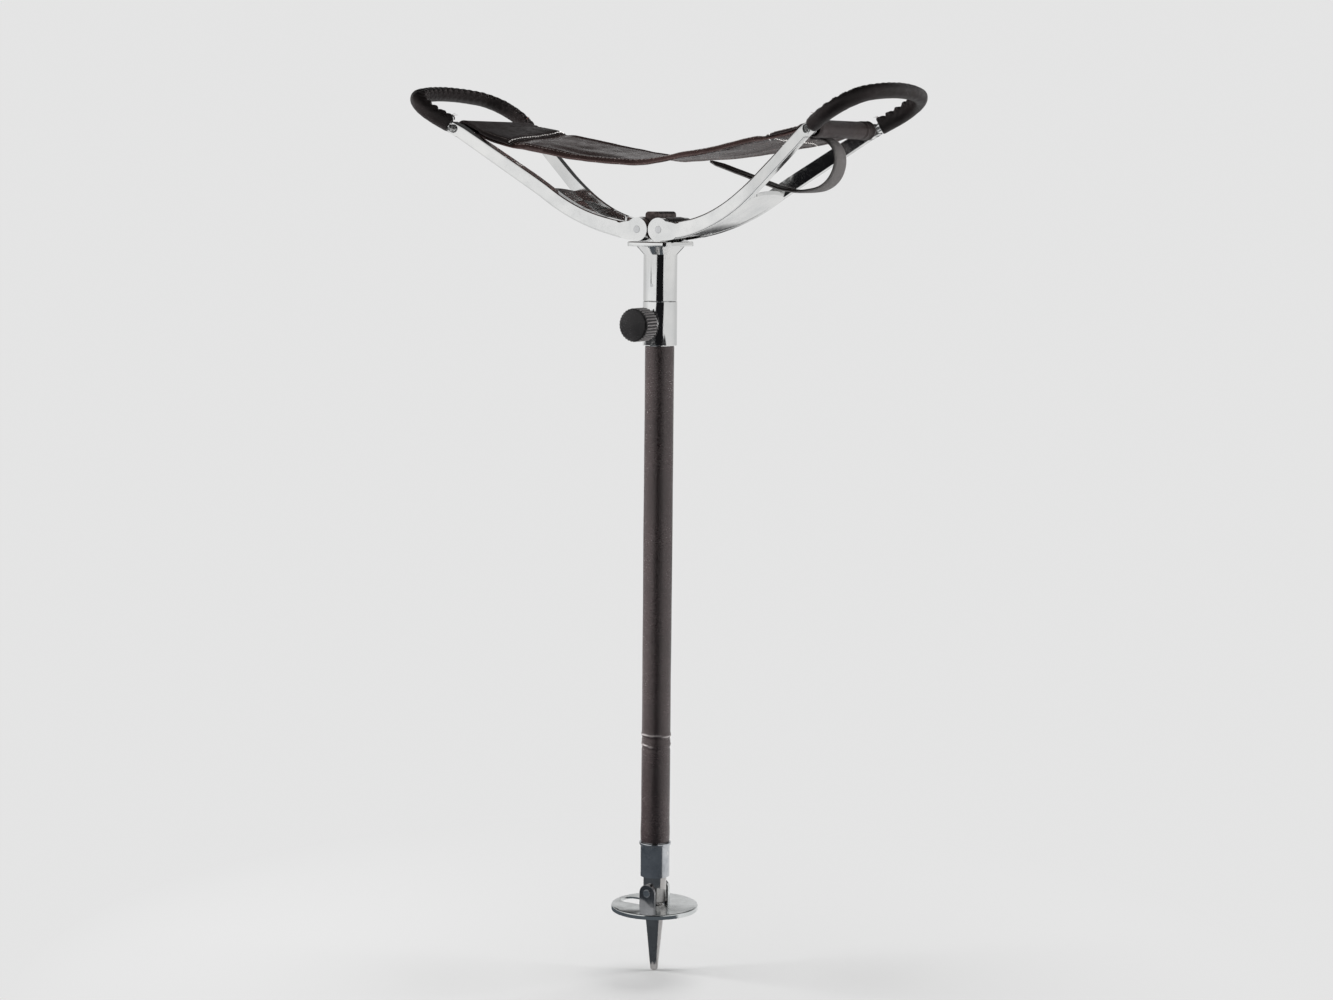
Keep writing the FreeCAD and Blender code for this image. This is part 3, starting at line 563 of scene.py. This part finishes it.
def hermite(first, firstWay, last, lastWay, share):
    a, b = share ** 3, share ** 2
    return tuple((2 * a - 3 * b + 1) * p + (a - 2 * b + share) * m + (3 * b - 2 * a) * q + (a - b) * n
                 for p, m, q, n in zip(first, firstWay, last, lastWay))


def slingStations():
    # the leather's middle line from the seat's centre, round the bar and back: (x, z, kind)
    reach = sling["barRadius"] + sling["hemGap"] + halfLeather
    gap = halfLeather + sling["seat"]
    near = barX - 16
    count = int(near / sling["step"])
    found = [(x, slingMiddle(x) - flapDrop(x), "sheet") for x in (near * k / count for k in range(count + 1))]
    slope = slingMiddle(near) - slingMiddle(near - 1)
    low, high = radians(-100), radians(100)
    pull = 14

    def onBar(angle):
        return barX + reach * cos(angle), barZ + reach * sin(angle)

    def wayOnBar(angle):
        return -pull * sin(angle), pull * cos(angle)

    toBar = ((near, slingMiddle(near) - gap), (pull, pull * slope), onBar(low), wayOnBar(low))
    fromBar = (onBar(high), wayOnBar(high), (near, slingMiddle(near) + gap), (-pull, -pull * slope))
    found += [(*hermite(*toBar, k / 8), "hem") for k in range(1, 8)]
    found += [(*onBar(low + (high - low) * k / 32), "hem") for k in range(33)]
    found += [(*hermite(*fromBar, k / 8), "hem") for k in range(1, 8)]
    steps = int((near - flapEnd) / 1.5)
    for k in range(steps + 1):
        x = near + (flapEnd - near) * k / steps
        found.append((x, slingMiddle(x) + sling["seat"] + flapThickness(x), "flap"))
    return found


def slingShape(side):
    # one half as a closed sheet: rings across the width, one at each station
    stations = slingStations()
    rings = []
    for k, (x, z, kind) in enumerate(stations):
        before = stations[max(k - 1, 0)]
        after = stations[min(k + 1, len(stations) - 1)]
        way = Vector((after[0] - before[0], after[1] - before[1])).normalized()
        normal = Vector((-way.y, way.x))
        half, lift = slingHalf(x), slingLift(x * side)
        thick = flapThickness(x) if kind == "flap" else halfLeather
        ring = []
        for face, v in acrossSheet(sling["across"]):
            fold = edgeFold(x, v) * (1 if kind == "sheet" else sling["foldUnderFlap"]) * foldLeft(x)
            depth = (thick + fold) * edgeRounding(half * (1 - abs(v)), sling["round"], 0.92) * face
            bulge = slingWaves(x * side, v)
            if side > 0 and kind == "hem":      # the crumpled far end of the right hem
                share = smoothStep(v * half, sling["crumpleFrom"], sling["crumpleTo"])
                bulge += sling["crumple"] * sin(
                    2 * pi * (v * half - 30) / sling["crumplePitch"]) * share
            px = x + normal.x * depth + (bulge * normal.x if kind == "hem" else 0)
            pz = z + normal.y * depth + (bulge * normal.y if kind == "hem" else bulge)
            ring.append(Vector((px * side, v * half, pz + lift * v)) * mm)
        rings.append(ring)
    return skinRings(rings)


def slingTop(x, v, upper):
    # a point on the sheet's upper or lower face, in millimetres, for stitches
    if abs(x) > flapEnd and upper > 0:
        away = sling["seat"] + 2 * flapThickness(x) + edgeFold(x, v) * sling["foldUnderFlap"]
    else:
        away = halfLeather - flapDrop(x) * upper + edgeFold(x, v) * foldLeft(x)
    z = slingMiddle(x) + slingLift(x) * v + slingWaves(x, v) + away * upper
    return Vector((x, v * slingHalf(x), z))


def slingPath(places):
    # places is a list of (x, v, upper); each becomes a point on that face and the way up there
    found = []
    for x, v, upper in places:
        centre = slingTop(x, v, upper)
        alongX = slingTop(x + 0.5, v, upper) - slingTop(x - 0.5, v, upper)
        alongY = slingTop(x, v + 0.01, upper) - slingTop(x, v - 0.01, upper)
        up = alongX.cross(alongY).normalized() * upper
        found.append((centre * mm, up))
    return found


edgeThread = {"Pitch": 3.8 * mm, "Length": 2.8 * mm, "Thread": 0.24 * mm, "Rise": 0.16 * mm,
              "Jitter": 0.06, "Seed": 5}
hemThread = {"Pitch": 3.8 * mm, "Length": 2.9 * mm, "Thread": 0.5 * mm, "Rise": 0.5 * mm,
             "Jitter": 0.08, "Seed": 7}
for side, name in ((-1, "left"), (1, "right")):
    sheet = makeObject("slingLeather_" + name, slingShape(side), seatLeather, 40)
    sheet.data.materials.append(hemLeather)
    across = 2 * (sling["across"] + 1)
    sheetRings = len([s for s in slingStations() if s[2] == "sheet"])
    for polygon in sheet.data.polygons:
        if min(polygon.vertices) // across >= sheetRings - 1:
            polygon.material_index = 1
    along = [side * (1.5 + 150 * k / 75) for k in range(76)]
    edgeRows = [slingPath([(x, v * (1 - sling["edgeStitch"] / slingHalf(x)), upper) for x in along])
                for v in (-1, 1) for upper in (1, -1)]
    darkRows = stitchRows("slingEdgeStitches_" + name, edgeRows, edgeThread, threadEdge)
    reach = 1 - 3.0 / sling["half"]
    hemX = side * (flapEnd + sling["hemStitch"])
    hemRows = [slingPath([(hemX, -reach + 2 * reach * k / 60, upper) for k in range(61)])
               for upper in (1, -1)]
    paleRows = stitchRows("slingHemStitches_" + name, hemRows, hemThread, threadPale)
    for piece in (sheet, darkRows, paleRows):
        if side < 0:
            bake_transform(piece)
        else:
            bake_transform(piece)
    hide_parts("seat_sling")
print("sling made")


# the loops: grip covers with a laced seam, in millimetres and degrees
loop = {
    "slope": 31, "barY": 58.6, "heading": 20.62, "straight": 17.4, "corner": 28.8, "reach": 219.4,
    "coverStart": 5.8, "radius": 6.2, "rod": 4.3, "seamAngle": 58,
    "ridge": 2.6, "ridgeWidth": 0.38, "pitch": 8.2, "groove": 0.75, "grooveWidth": 0.09, "pucker": 0.28,
    "puckerTurn": 0.85, "puckerWidth": 0.35, "crease": 0.16, "ringStep": 0.9, "around": 44,
}


def onSide(p, side):
    # a place given in millimetres for the right side, in metres and mirrored for the left
    return Vector((p.x * side, p.y, p.z)) * mm


def loopPoints(step):
    # the loop's line from the far cover end to the near one: (point, along, inward, upward, run) in mm
    slope, heading = radians(loop["slope"]), radians(loop["heading"])
    straight, corner, coverStart = loop["straight"], loop["corner"], loop["coverStart"]
    reach = (loop["reach"] - barX) / cos(slope)
    bendS = straight * cos(heading) + corner * sin(heading)
    bendT = loop["barY"] + straight * sin(heading) - corner * cos(heading)
    behind = bendS - reach
    endRadius = (corner ** 2 - behind ** 2 - bendT ** 2) / (2 * (behind + corner))
    endTurn = degrees(asin(bendT / (endRadius - corner)))
    cornerTurn = loop["heading"] + 90 - endTurn
    start = (coverStart * cos(heading), loop["barY"] + coverStart * sin(heading))
    half = walkPath(start, loop["heading"], [
        (straight - coverStart, 0), (corner * radians(cornerTurn), -cornerTurn),
        (endRadius * radians(endTurn), -endTurn)], step)
    whole = half + [(s, -t, -pi - angle, 2 * half[-1][3] - run) for s, t, angle, run in half[-2::-1]]
    sWay, tWay = Vector((cos(slope), 0, sin(slope))), Vector((0, 1, 0))
    upward = Vector((-sin(slope), 0, cos(slope)))
    found = []
    for s, t, angle, run in whole:
        centre = Vector((barX + s * cos(slope), t, barZ + s * sin(slope)))
        along = sWay * cos(angle) + tWay * sin(angle)
        inward = sWay * sin(angle) - tWay * cos(angle)
        found.append((centre, along, inward, upward, run))
    return found


def seamBulge(run, total):
    # how far the seam's leather stands up: full between lacings, pulled in at each one
    count = round(total / loop["pitch"])
    share = (run / total * count) % 1
    wander = 0.25 * noise.noise(Vector((run / 9, 1.7, 0.3)))
    return 0.2 + 0.8 * sin(pi * share) ** 0.6 + wander


def gripShape(side):
    line = loopPoints(loop["ringStep"])
    total = line[-1][4]
    seam = radians(loop["seamAngle"])

    def ringAt(centre, inward, upward, run, radius, flat=0.0):
        ring = []
        for j in range(loop["around"]):
            angle = 2 * pi * j / loop["around"]
            away = (angle - seam + pi) % (2 * pi) - pi
            ridge = seamBulge(run, total) * loop["ridge"] * bell(away, loop["ridgeWidth"])
            groove = loop["groove"] * bell(away, loop["grooveWidth"])
            pucker = loop["pucker"] * bell(abs(away) - loop["puckerTurn"], loop["puckerWidth"])
            pucker *= sin(2 * pi * run / loop["pitch"] + 1.3)
            crease = loop["crease"] * noise.noise(Vector((run / 5, 3 * cos(angle), 3 * sin(angle))))
            reach = radius + (ridge - groove + pucker + crease) * (1 - flat)
            p = centre + inward * reach * cos(angle) + upward * reach * sin(angle)
            ring.append(onSide(p, side))
        return ring

    ends = ((0.25, loop["rod"] + 0.05), (0.0, loop["radius"] - 0.7))
    centre, along, inward, upward, run = line[0]
    rings = [ringAt(centre + along * shift, inward, upward, 0, radius, 1.0) for shift, radius in ends]
    for centre, along, inward, upward, run in line:
        edge = min(run, total - run)
        rings.append(ringAt(centre + along * (0.12 if run == 0 else 0), inward, upward, run,
                            loop["radius"] - 0.35 * (1 - smoothStep(edge, 0, 1.4)),
                            1 - smoothStep(edge, -0.5, 2.5)))
    rings += [ringAt(centre - along * shift, inward, upward, total, radius, 1.0)
              for shift, radius in ends[::-1]]
    return skinRings(rings, capped=False)


def seamPath(side):
    # the line on top of the seam's ridge, where the lacing crosses it
    seam = radians(loop["seamAngle"])
    line = loopPoints(1.0)
    total = line[-1][4]
    found = []
    for centre, along, inward, upward, run in line:
        if 1.5 < run < total - 1.5:
            out = inward * cos(seam) + upward * sin(seam)
            p = centre + out * (loop["radius"] + loop["ridge"] * 0.62)
            found.append((onSide(p, side), Vector((out.x * side, out.y, out.z))))
    return found


def threadTails(name, side):
    # loose ends of the lacing thread at both ends of the leather, as thin bent rods
    line = loopPoints(1.0)
    seam = radians(loop["seamAngle"])
    points, faces = [], []
    # which end of the line, how far back from it, which way, how long, and how far it leans
    tails = ((0, 2.0, -1, 5.5, 0.9), (0, 3.0, -1, 4.0, -0.8), (-1, 2.0, 1, 6.0, 0.7), (-1, 3.2, 1, 4.5, -0.9))
    for end, back, sign, length, lean in tails:
        centre, along, inward, upward, run = line[end]
        out = inward * cos(seam) + upward * sin(seam)
        across = along.cross(out)
        start = centre - along * sign * back + out * (loop["radius"] + 1.0)
        rings = []
        for j in range(9):
            share = j / 8
            centreHere = start + out * length * (share - 0.25 * share * share) \
                + along * sign * length * 0.5 * share * share + across * lean * length * 0.5 * share ** 1.5
            radius = 0.33 * (1 - 0.5 * share)
            rings.append([onSide(centreHere + along * radius * cos(a) + across * radius * sin(a), side)
                          for a in (pi * m / 3 for m in range(6))])
        more, skin = skinRings(rings)
        faces += [tuple(index + len(points) for index in f) for f in skin]
        points += more
    return makeObject("threadTails_" + name, (points, faces), threadTail, 60)


lacing = {"Pitch": loop["pitch"] * mm, "Length": 5.4 * mm, "Thread": 0.55 * mm, "Rise": 1.5 * mm,
          "Jitter": 0.12, "Seed": 11}
for side, name in ((1, "right"), (-1, "left")):
    body = "handle_" + name
    cover = makeObject("gripLeather_" + name, gripShape(side), gripLeather, 60)
    for mark, slant in (("a", 0.95), ("b", -0.95)):
        made = stitchRows("gripLacing_%s_%s" % (name, mark), [seamPath(side)],
                          dict(lacing, Slant=slant * side + pi / 2 - slant * 0.35), threadDark)
        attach(made, body)
    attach(cover, body)
    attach(threadTails(name, side), body)
    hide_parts("grip_cover_" + name)
    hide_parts("grip_lacing_" + name)
print("grips made")


# the wrist strap, in millimetres and degrees
strap = {"width": 18, "thick": 2.2, "startIn": 24, "gap": 0.4, "firstRun": 6, "topRadius": 17.5,
         "sideRadius": 25, "sideTurn": 80, "bottomRadius": 80, "bottomTurn": 28, "tail": 64,
         "point": 9, "pointHalf": 2, "twist": 7, "twistFrom": 8, "twistTo": 90, "cup": 0.5,
         "wave": 0.25, "hemThick": 4, "round": 0.9, "step": 1.2, "across": 14}


def strapShape():
    startX = barX - strap["startIn"]
    startZ = slingMiddle(startX) - (strap["hemThick"] + strap["thick"]) / 2 - strap["gap"]
    startZ -= abs(slingLift(startX)) * strap["width"] / 2 / slingHalf(startX)
    line = walkPath((startX, startZ), 0, [
        (strap["firstRun"], 0),
        (strap["topRadius"] * radians(90), -90),
        (strap["sideRadius"] * radians(strap["sideTurn"]), -strap["sideTurn"]),
        (strap["bottomRadius"] * radians(strap["bottomTurn"]), -strap["bottomTurn"]),
        (strap["tail"], 0)], strap["step"])
    total = line[-1][3]
    rings = []
    for x, z, angle, run in line:
        left = total - run
        half = strap["width"] / 2
        if left < strap["point"]:
            half = strap["pointHalf"] + (half - strap["pointHalf"]) * left / strap["point"]
        share = smoothStep(run, strap["twistFrom"], strap["twistTo"])
        twist = radians(strap["twist"]) * sin(pi * share)
        out = Vector((-sin(angle), 0, cos(angle)))
        wide = Vector((0, 1, 0)) * cos(twist) + out * sin(twist)
        normal = out * cos(twist) - Vector((0, 1, 0)) * sin(twist)
        ring = []
        for face, v in acrossSheet(strap["across"]):
            depth = strap["thick"] / 2 * edgeRounding(half * (1 - abs(v)), strap["round"], 0.9)
            cup = strap["cup"] * v * v + strap["wave"] * noise.noise(Vector((run / 14, v * 1.5, 2.5)))
            p = Vector((x, 0, z)) + wide * v * half + normal * (depth * face - cup)
            ring.append(p * mm)
        rings.append(ring)
    return skinRings(rings), total


strapSkin, strapLength = strapShape()
strapPiece = makeObject("wristStrap", strapSkin, strapLeather, 45)
strapPiece.data.materials.append(darkEdge)
strapPiece.data.materials.append(strapLining)
across = strap["across"]
for polygon in strapPiece.data.polygons:
    places = [v % (2 * (across + 1)) for v in polygon.vertices]
    if max(min(p % (across + 1), across - p % (across + 1)) for p in places) < 1:
        polygon.material_index = 1
    elif min(places) > across:
        polygon.material_index = 2
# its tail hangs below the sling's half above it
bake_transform(strapPiece)
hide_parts("wrist_strap")
print("strap made")


# the shaft's leather cover, in millimetres and degrees
cover = {"low": 59.9, "high": 487.4, "radius": 12.35, "inner": 11.02, "around": 72, "step": 1.5,
         "ringHeights": (154, 145.2), "ringRises": (0.7, 0.5), "ringWidth": 1.1, "ringWander": 1.6,
         "dip": 0.4, "dipBelow": 2.4, "dipWidth": 1.5, "lump": 0.16, "lumpLength": 45,
         "footBulge": 0.35, "footHeight": 68, "footWidth": 9, "groove": 0.35, "grooveWidth": 2.6,
         "seamTurn": 118, "crestColour": (0.27, 0.255, 0.25), "crestWidth": 0.9, "patchTurn": -115}


def creaseHeight(angle, k):
    # the two rings where the leather has crept up wander a little round the shaft
    place = Vector((cos(angle) * 1.4, sin(angle) * 1.4, k * 7.7))
    return cover["ringHeights"][k] + cover["ringWander"] * noise.noise(place)


def paleCreaseCrests(obj):
    # the crests of the rings are paler, the lower one only in places
    crestPaleness = obj.data.attributes.new("crestPaleness", "FLOAT", "POINT")
    for vertex, value in zip(obj.data.vertices, crestPaleness.data):
        angle, z = atan2(vertex.co.y, vertex.co.x), vertex.co.z / mm
        if vertex.co.xy.length < (cover["radius"] - 1) * mm:
            continue
        crests = [bell(z - creaseHeight(angle, k), cover["crestWidth"]) for k in (0, 1)]
        patch = smoothStep(cos(angle - radians(cover["patchTurn"])), 0.3, 0.9)
        value.value = max(crests[0], crests[1] * patch)
    tree = coverLeather.node_tree
    share = nodeOf(tree, "Attribute", attribute_name="crestPaleness").outputs["Fac"]
    recolour(coverLeather, ranged(tree, share, 0.3, 1, 0, 0.85), cover["crestColour"])


def coverShape():
    low, high = cover["low"], cover["high"]
    count = int((high - low) / cover["step"])

    def ringAt(z, radius, detail):
        ring = []
        for j in range(cover["around"]):
            angle = 2 * pi * j / cover["around"]
            reach = radius
            if detail:
                place = Vector((2 * cos(angle), 2 * sin(angle), z / cover["lumpLength"]))
                reach += cover["lump"] * noise.noise(place)
                for k, rise in enumerate(cover["ringRises"]):
                    above = z - creaseHeight(angle, k)
                    reach += rise * bell(above, cover["ringWidth"])
                    reach -= cover["dip"] * bell(above + cover["dipBelow"], cover["dipWidth"])
                reach += cover["footBulge"] * bell(z - cover["footHeight"], cover["footWidth"])
                away = (degrees(angle) - cover["seamTurn"] + 180) % 360 - 180
                reach -= cover["groove"] * bell(away, cover["grooveWidth"])
            ring.append(Vector((reach * cos(angle), reach * sin(angle), z)) * mm)
        return ring

    ends = (cover["inner"], cover["radius"] - 0.5)
    rings = [ringAt(low, radius, False) for radius in ends]
    for k in range(count + 1):
        z = low + (high - low) * k / count
        edge = min(z - low, high - z)
        rings.append(ringAt(z + (0.2 if k == 0 else -0.2 if k == count else 0),
                            cover["radius"] - 0.25 * (1 - smoothStep(edge, 0, 1.6)), True))
    rings += [ringAt(high, radius, False) for radius in ends[::-1]]
    return skinRings(rings, capped=False)


coverPiece = makeObject("shaftLeather", coverShape(), coverLeather, 60)
paleCreaseCrests(coverPiece)
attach(coverPiece, "shaft")
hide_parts("shaft_cover")
seamTurn = radians(cover["seamTurn"])
out = Vector((cos(seamTurn), sin(seamTurn), 0))
seamRow = []
for k in range(160):
    z = cover["low"] + 4 + (cover["high"] - cover["low"] - 8) * k / 159
    seamRow.append(((out * (cover["radius"] - 0.25) + Vector((0, 0, z))) * mm, out))
seamStitches = {"Pitch": 5 * mm, "Length": 3.6 * mm, "Thread": 0.3 * mm, "Rise": 0.35 * mm,
                "Slant": pi / 2 - 0.5, "Jitter": 0.05, "Seed": 13}
seamThread = stitchRows("shaftSeam", [seamRow], seamStitches, threadDark)
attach(seamThread, "shaft")
print("shaft cover made")


# floor, light and camera
backdropColour = (0.78, 0.78, 0.78)
floor = {"level": -0.0552, "half": 6, "colour": (0.47, 0.47, 0.47), "fade": (0.1, 0.55),
         "borderIn": (1.7, 1.85), "borderOut": (3.3, 3.6), "borderColour": (0.04, 0.04, 0.042)}


def stageSheet(name, points, faces):
    mesh = bpy.data.meshes.new(name)
    mesh.from_pydata(points, [], faces)
    sheet = placeNew(name, mesh)
    return sheet


corners = ((-1, -1), (1, -1), (1, 1), (-1, 1))
floorSheet = stageSheet("floor", [(x * floor["half"], y * floor["half"], floor["level"]) for x, y in corners],
                        [(0, 1, 2, 3)])
floorPaint, tree, floorShader = newMaterial("floorPaint")
feed(tree, floorShader, {"Base Color": floor["colour"], "Roughness": 1, "Specular IOR Level": 0})
floorSheet.data.materials.append(floorPaint)
# the floor fades into the backdrop's colour away from the tip
away = nodeOf(tree, "VectorMath", {0: objectPlace(tree)}, operation="LENGTH").outputs["Value"]
rays = nodeOf(tree, "LightPath").outputs
# the metal mirrors a dark border of the floor, far from the object
border = product(tree, ranged(tree, away, *floor["borderIn"]), ranged(tree, away, *floor["borderOut"], 1, 0),
                 rays["Is Glossy Ray"])
backdrop = nodeOf(tree, "Emission", {
    "Color": mixed(tree, border, backdropColour, floor["borderColour"])})
seen = combined(tree, "MAXIMUM", rays["Is Camera Ray"], rays["Is Glossy Ray"])
seen = combined(tree, "MAXIMUM", seen, rays["Is Transmission Ray"])
faded = product(tree, ranged(tree, away, *floor["fade"]), seen)
shown = nodeOf(tree, "MixShader", {0: faded, 1: floorShader, 2: backdrop})
feed(tree, tree.nodes["Material Output"], {"Surface": shown})

camera = {"yaw": 30.5, "pitch": 7, "roll": 0.55, "distance": 2.2525, "aside": 0.00703, "height": 0.35627,
          "lens": 36 * 2650 / 1333}
yaw, pitch = radians(camera["yaw"]), radians(camera["pitch"])

# a dark shallow tray round the left of the foot, seen only in the mirror of the metal
tray = {"inner": 0.014, "outer": 0.32, "low": -0.0545, "rim": 0.03, "from": -150, "to": 60, "parts": 48,
        "colour": (0.085, 0.096, 0.108)}
trayPoints = []
for k in range(tray["parts"] + 1):
    turnHere = yaw + radians(tray["from"] + (tray["to"] - tray["from"]) * k / tray["parts"])
    for radius, z in ((tray["inner"], tray["low"]), (tray["outer"], tray["low"]),
                      (tray["outer"], tray["rim"])):
        trayPoints.append((sin(turnHere) * radius, -cos(turnHere) * radius, z))
trayFaces = [(3 * k + j, 3 * k + j + 3, 3 * k + j + 4, 3 * k + j + 1)
             for k in range(tray["parts"]) for j in (0, 1)]


def mirroredOnly(name, points, faces, colour):
    # a dark sheet of the studio that only the metal and the gloss can see
    sheet = stageSheet(name, points, faces)
    paint, tree, shader = newMaterial(name)
    feed(tree, shader, {"Base Color": (0, 0, 0), "Specular IOR Level": 0, "Emission Color": colour,
                        "Emission Strength": 1})
    sheet.data.materials.append(paint)
    sheet.visible_camera = sheet.visible_diffuse = sheet.visible_shadow = False


mirroredOnly("footTray", trayPoints, trayFaces, tray["colour"])
# the dark opening the camera looks through, close in front of the shaft
opening = {"distance": 0.35, "from": -27, "to": 22, "low": -0.05, "high": 0.76,
           "colour": (0.008, 0.008, 0.009)}
openingPoints = []
for side in ("from", "to"):
    aside = opening["distance"] * tan(radians(opening[side]))
    for z in (opening["low"], opening["high"]):
        openingPoints.append((sin(yaw) * opening["distance"] + cos(yaw) * aside,
                              -cos(yaw) * opening["distance"] + sin(yaw) * aside, z))
mirroredOnly("cameraOpening", openingPoints, [(0, 2, 3, 1)], opening["colour"])

world = bpy.data.worlds.new("studio")
bpy.context.scene.world = world
world.use_nodes = True
tree = world.node_tree
tree.nodes.clear()

# what the metal mirrors: white walls and a dark ceiling, the wall behind the object dark high up
sky = {"leftTone": 1.15, "rightTone": 0.95, "backTone": 0.8, "topFrom": 48, "topTo": 66, "topTone": 0.06,
       "backDarkFrom": 18.5, "backDarkTo": 24, "backDarkTone": 0.08, "dim": 0.3}
coords = nodeOf(tree, "TexCoord")
turned = nodeOf(tree, "Mapping", {
    "Vector": coords.outputs["Generated"], "Rotation": (0, 0, radians(90) - yaw)})
parts = nodeOf(tree, "SeparateXYZ", {0: turned}).outputs
azimuth = product(tree, combined(tree, "ARCTAN2", parts["Y"], parts["X"]), 180 / pi)
elevation = product(tree, combined(tree, "ARCSINE", parts["Z"]), 180 / pi)
sides = ranged(tree, azimuth, -20, 20, sky["leftTone"], sky["rightTone"])
backShare = ranged(tree, combined(tree, "ABSOLUTE", azimuth), 85, 125)
wall = combined(tree, "ADD", product(tree, sides, combined(tree, "SUBTRACT", 1, backShare)),
                product(tree, sky["backTone"], backShare))
highShare = ranged(tree, elevation, sky["backDarkFrom"], sky["backDarkTo"], 0, 1 - sky["backDarkTone"])
wall = product(tree, wall, combined(tree, "SUBTRACT", 1, product(tree, highShare, backShare)))
top = ranged(tree, elevation, sky["topFrom"], sky["topTo"], 1, sky["topTone"])
mirrored = nodeOf(tree, "Background", {"Strength": product(tree, wall, top)})
dimSky = nodeOf(tree, "Background", {"Strength": sky["dim"]})
backdrop = nodeOf(tree, "Background", {"Color": backdropColour, "Strength": 1})
rays = nodeOf(tree, "LightPath").outputs
glossy = combined(tree, "MAXIMUM", rays["Is Glossy Ray"], rays["Is Transmission Ray"])
chooser = nodeOf(tree, "MixShader", {0: glossy, 1: dimSky, 2: mirrored})
shown = nodeOf(tree, "MixShader", {0: rays["Is Camera Ray"], 1: chooser, 2: backdrop})
nodeOf(tree, "OutputWorld", {0: shown})

rightWay = Vector((cos(yaw), sin(yaw), 0))
forward = Vector((-sin(yaw) * cos(pitch), cos(yaw) * cos(pitch), -sin(pitch)))
upWay = rightWay.cross(forward)
lens = bpy.data.cameras.new("camera")
lens.lens = camera["lens"]
lens.sensor_width = 36
lens.clip_start = 0.05
lens.clip_end = 60
eye = placeNew("camera", lens)
place = Vector((0, 0, camera["height"])) + rightWay * camera["aside"] - forward * camera["distance"]
turn = Matrix((rightWay, upWay, -forward)).transposed().to_4x4()
roll = Matrix.Rotation(radians(camera["roll"]), 4, "Z")
eye.matrix_world = Matrix.Translation(place) @ turn @ roll
bpy.context.scene.camera = eye
bpy.context.scene.view_settings.view_transform = "Standard"


def softLamp(name, azimuth, distance, height, aim, size, power):
    # azimuth 0 is on the camera's side and grows to its right; aim is a height on the shaft
    data = bpy.data.lights.new(name, "AREA")
    data.shape = "RECTANGLE"
    data.size, data.size_y = size
    data.energy = power
    lamp = placeNew(name, data)
    angle = yaw + radians(azimuth)
    place = Vector((sin(angle) * distance, -cos(angle) * distance, height))
    lamp.location = place
    lamp.rotation_mode = "QUATERNION"
    lamp.rotation_quaternion = (Vector((0, 0, aim)) - place).to_track_quat("-Z", "Y")
    lamp.visible_glossy = False


softLamp("leftBox", azimuth=-94, distance=2.2, height=0.36, aim=0.33, size=(1.4, 0.8), power=190)
softLamp("rightBox", azimuth=98, distance=2.2, height=0.36, aim=0.33, size=(1.4, 0.8), power=115)
softLamp("topBox", azimuth=160, distance=1.2, height=2.2, aim=0.5, size=(1.6, 1.2), power=30)
print("stage made")
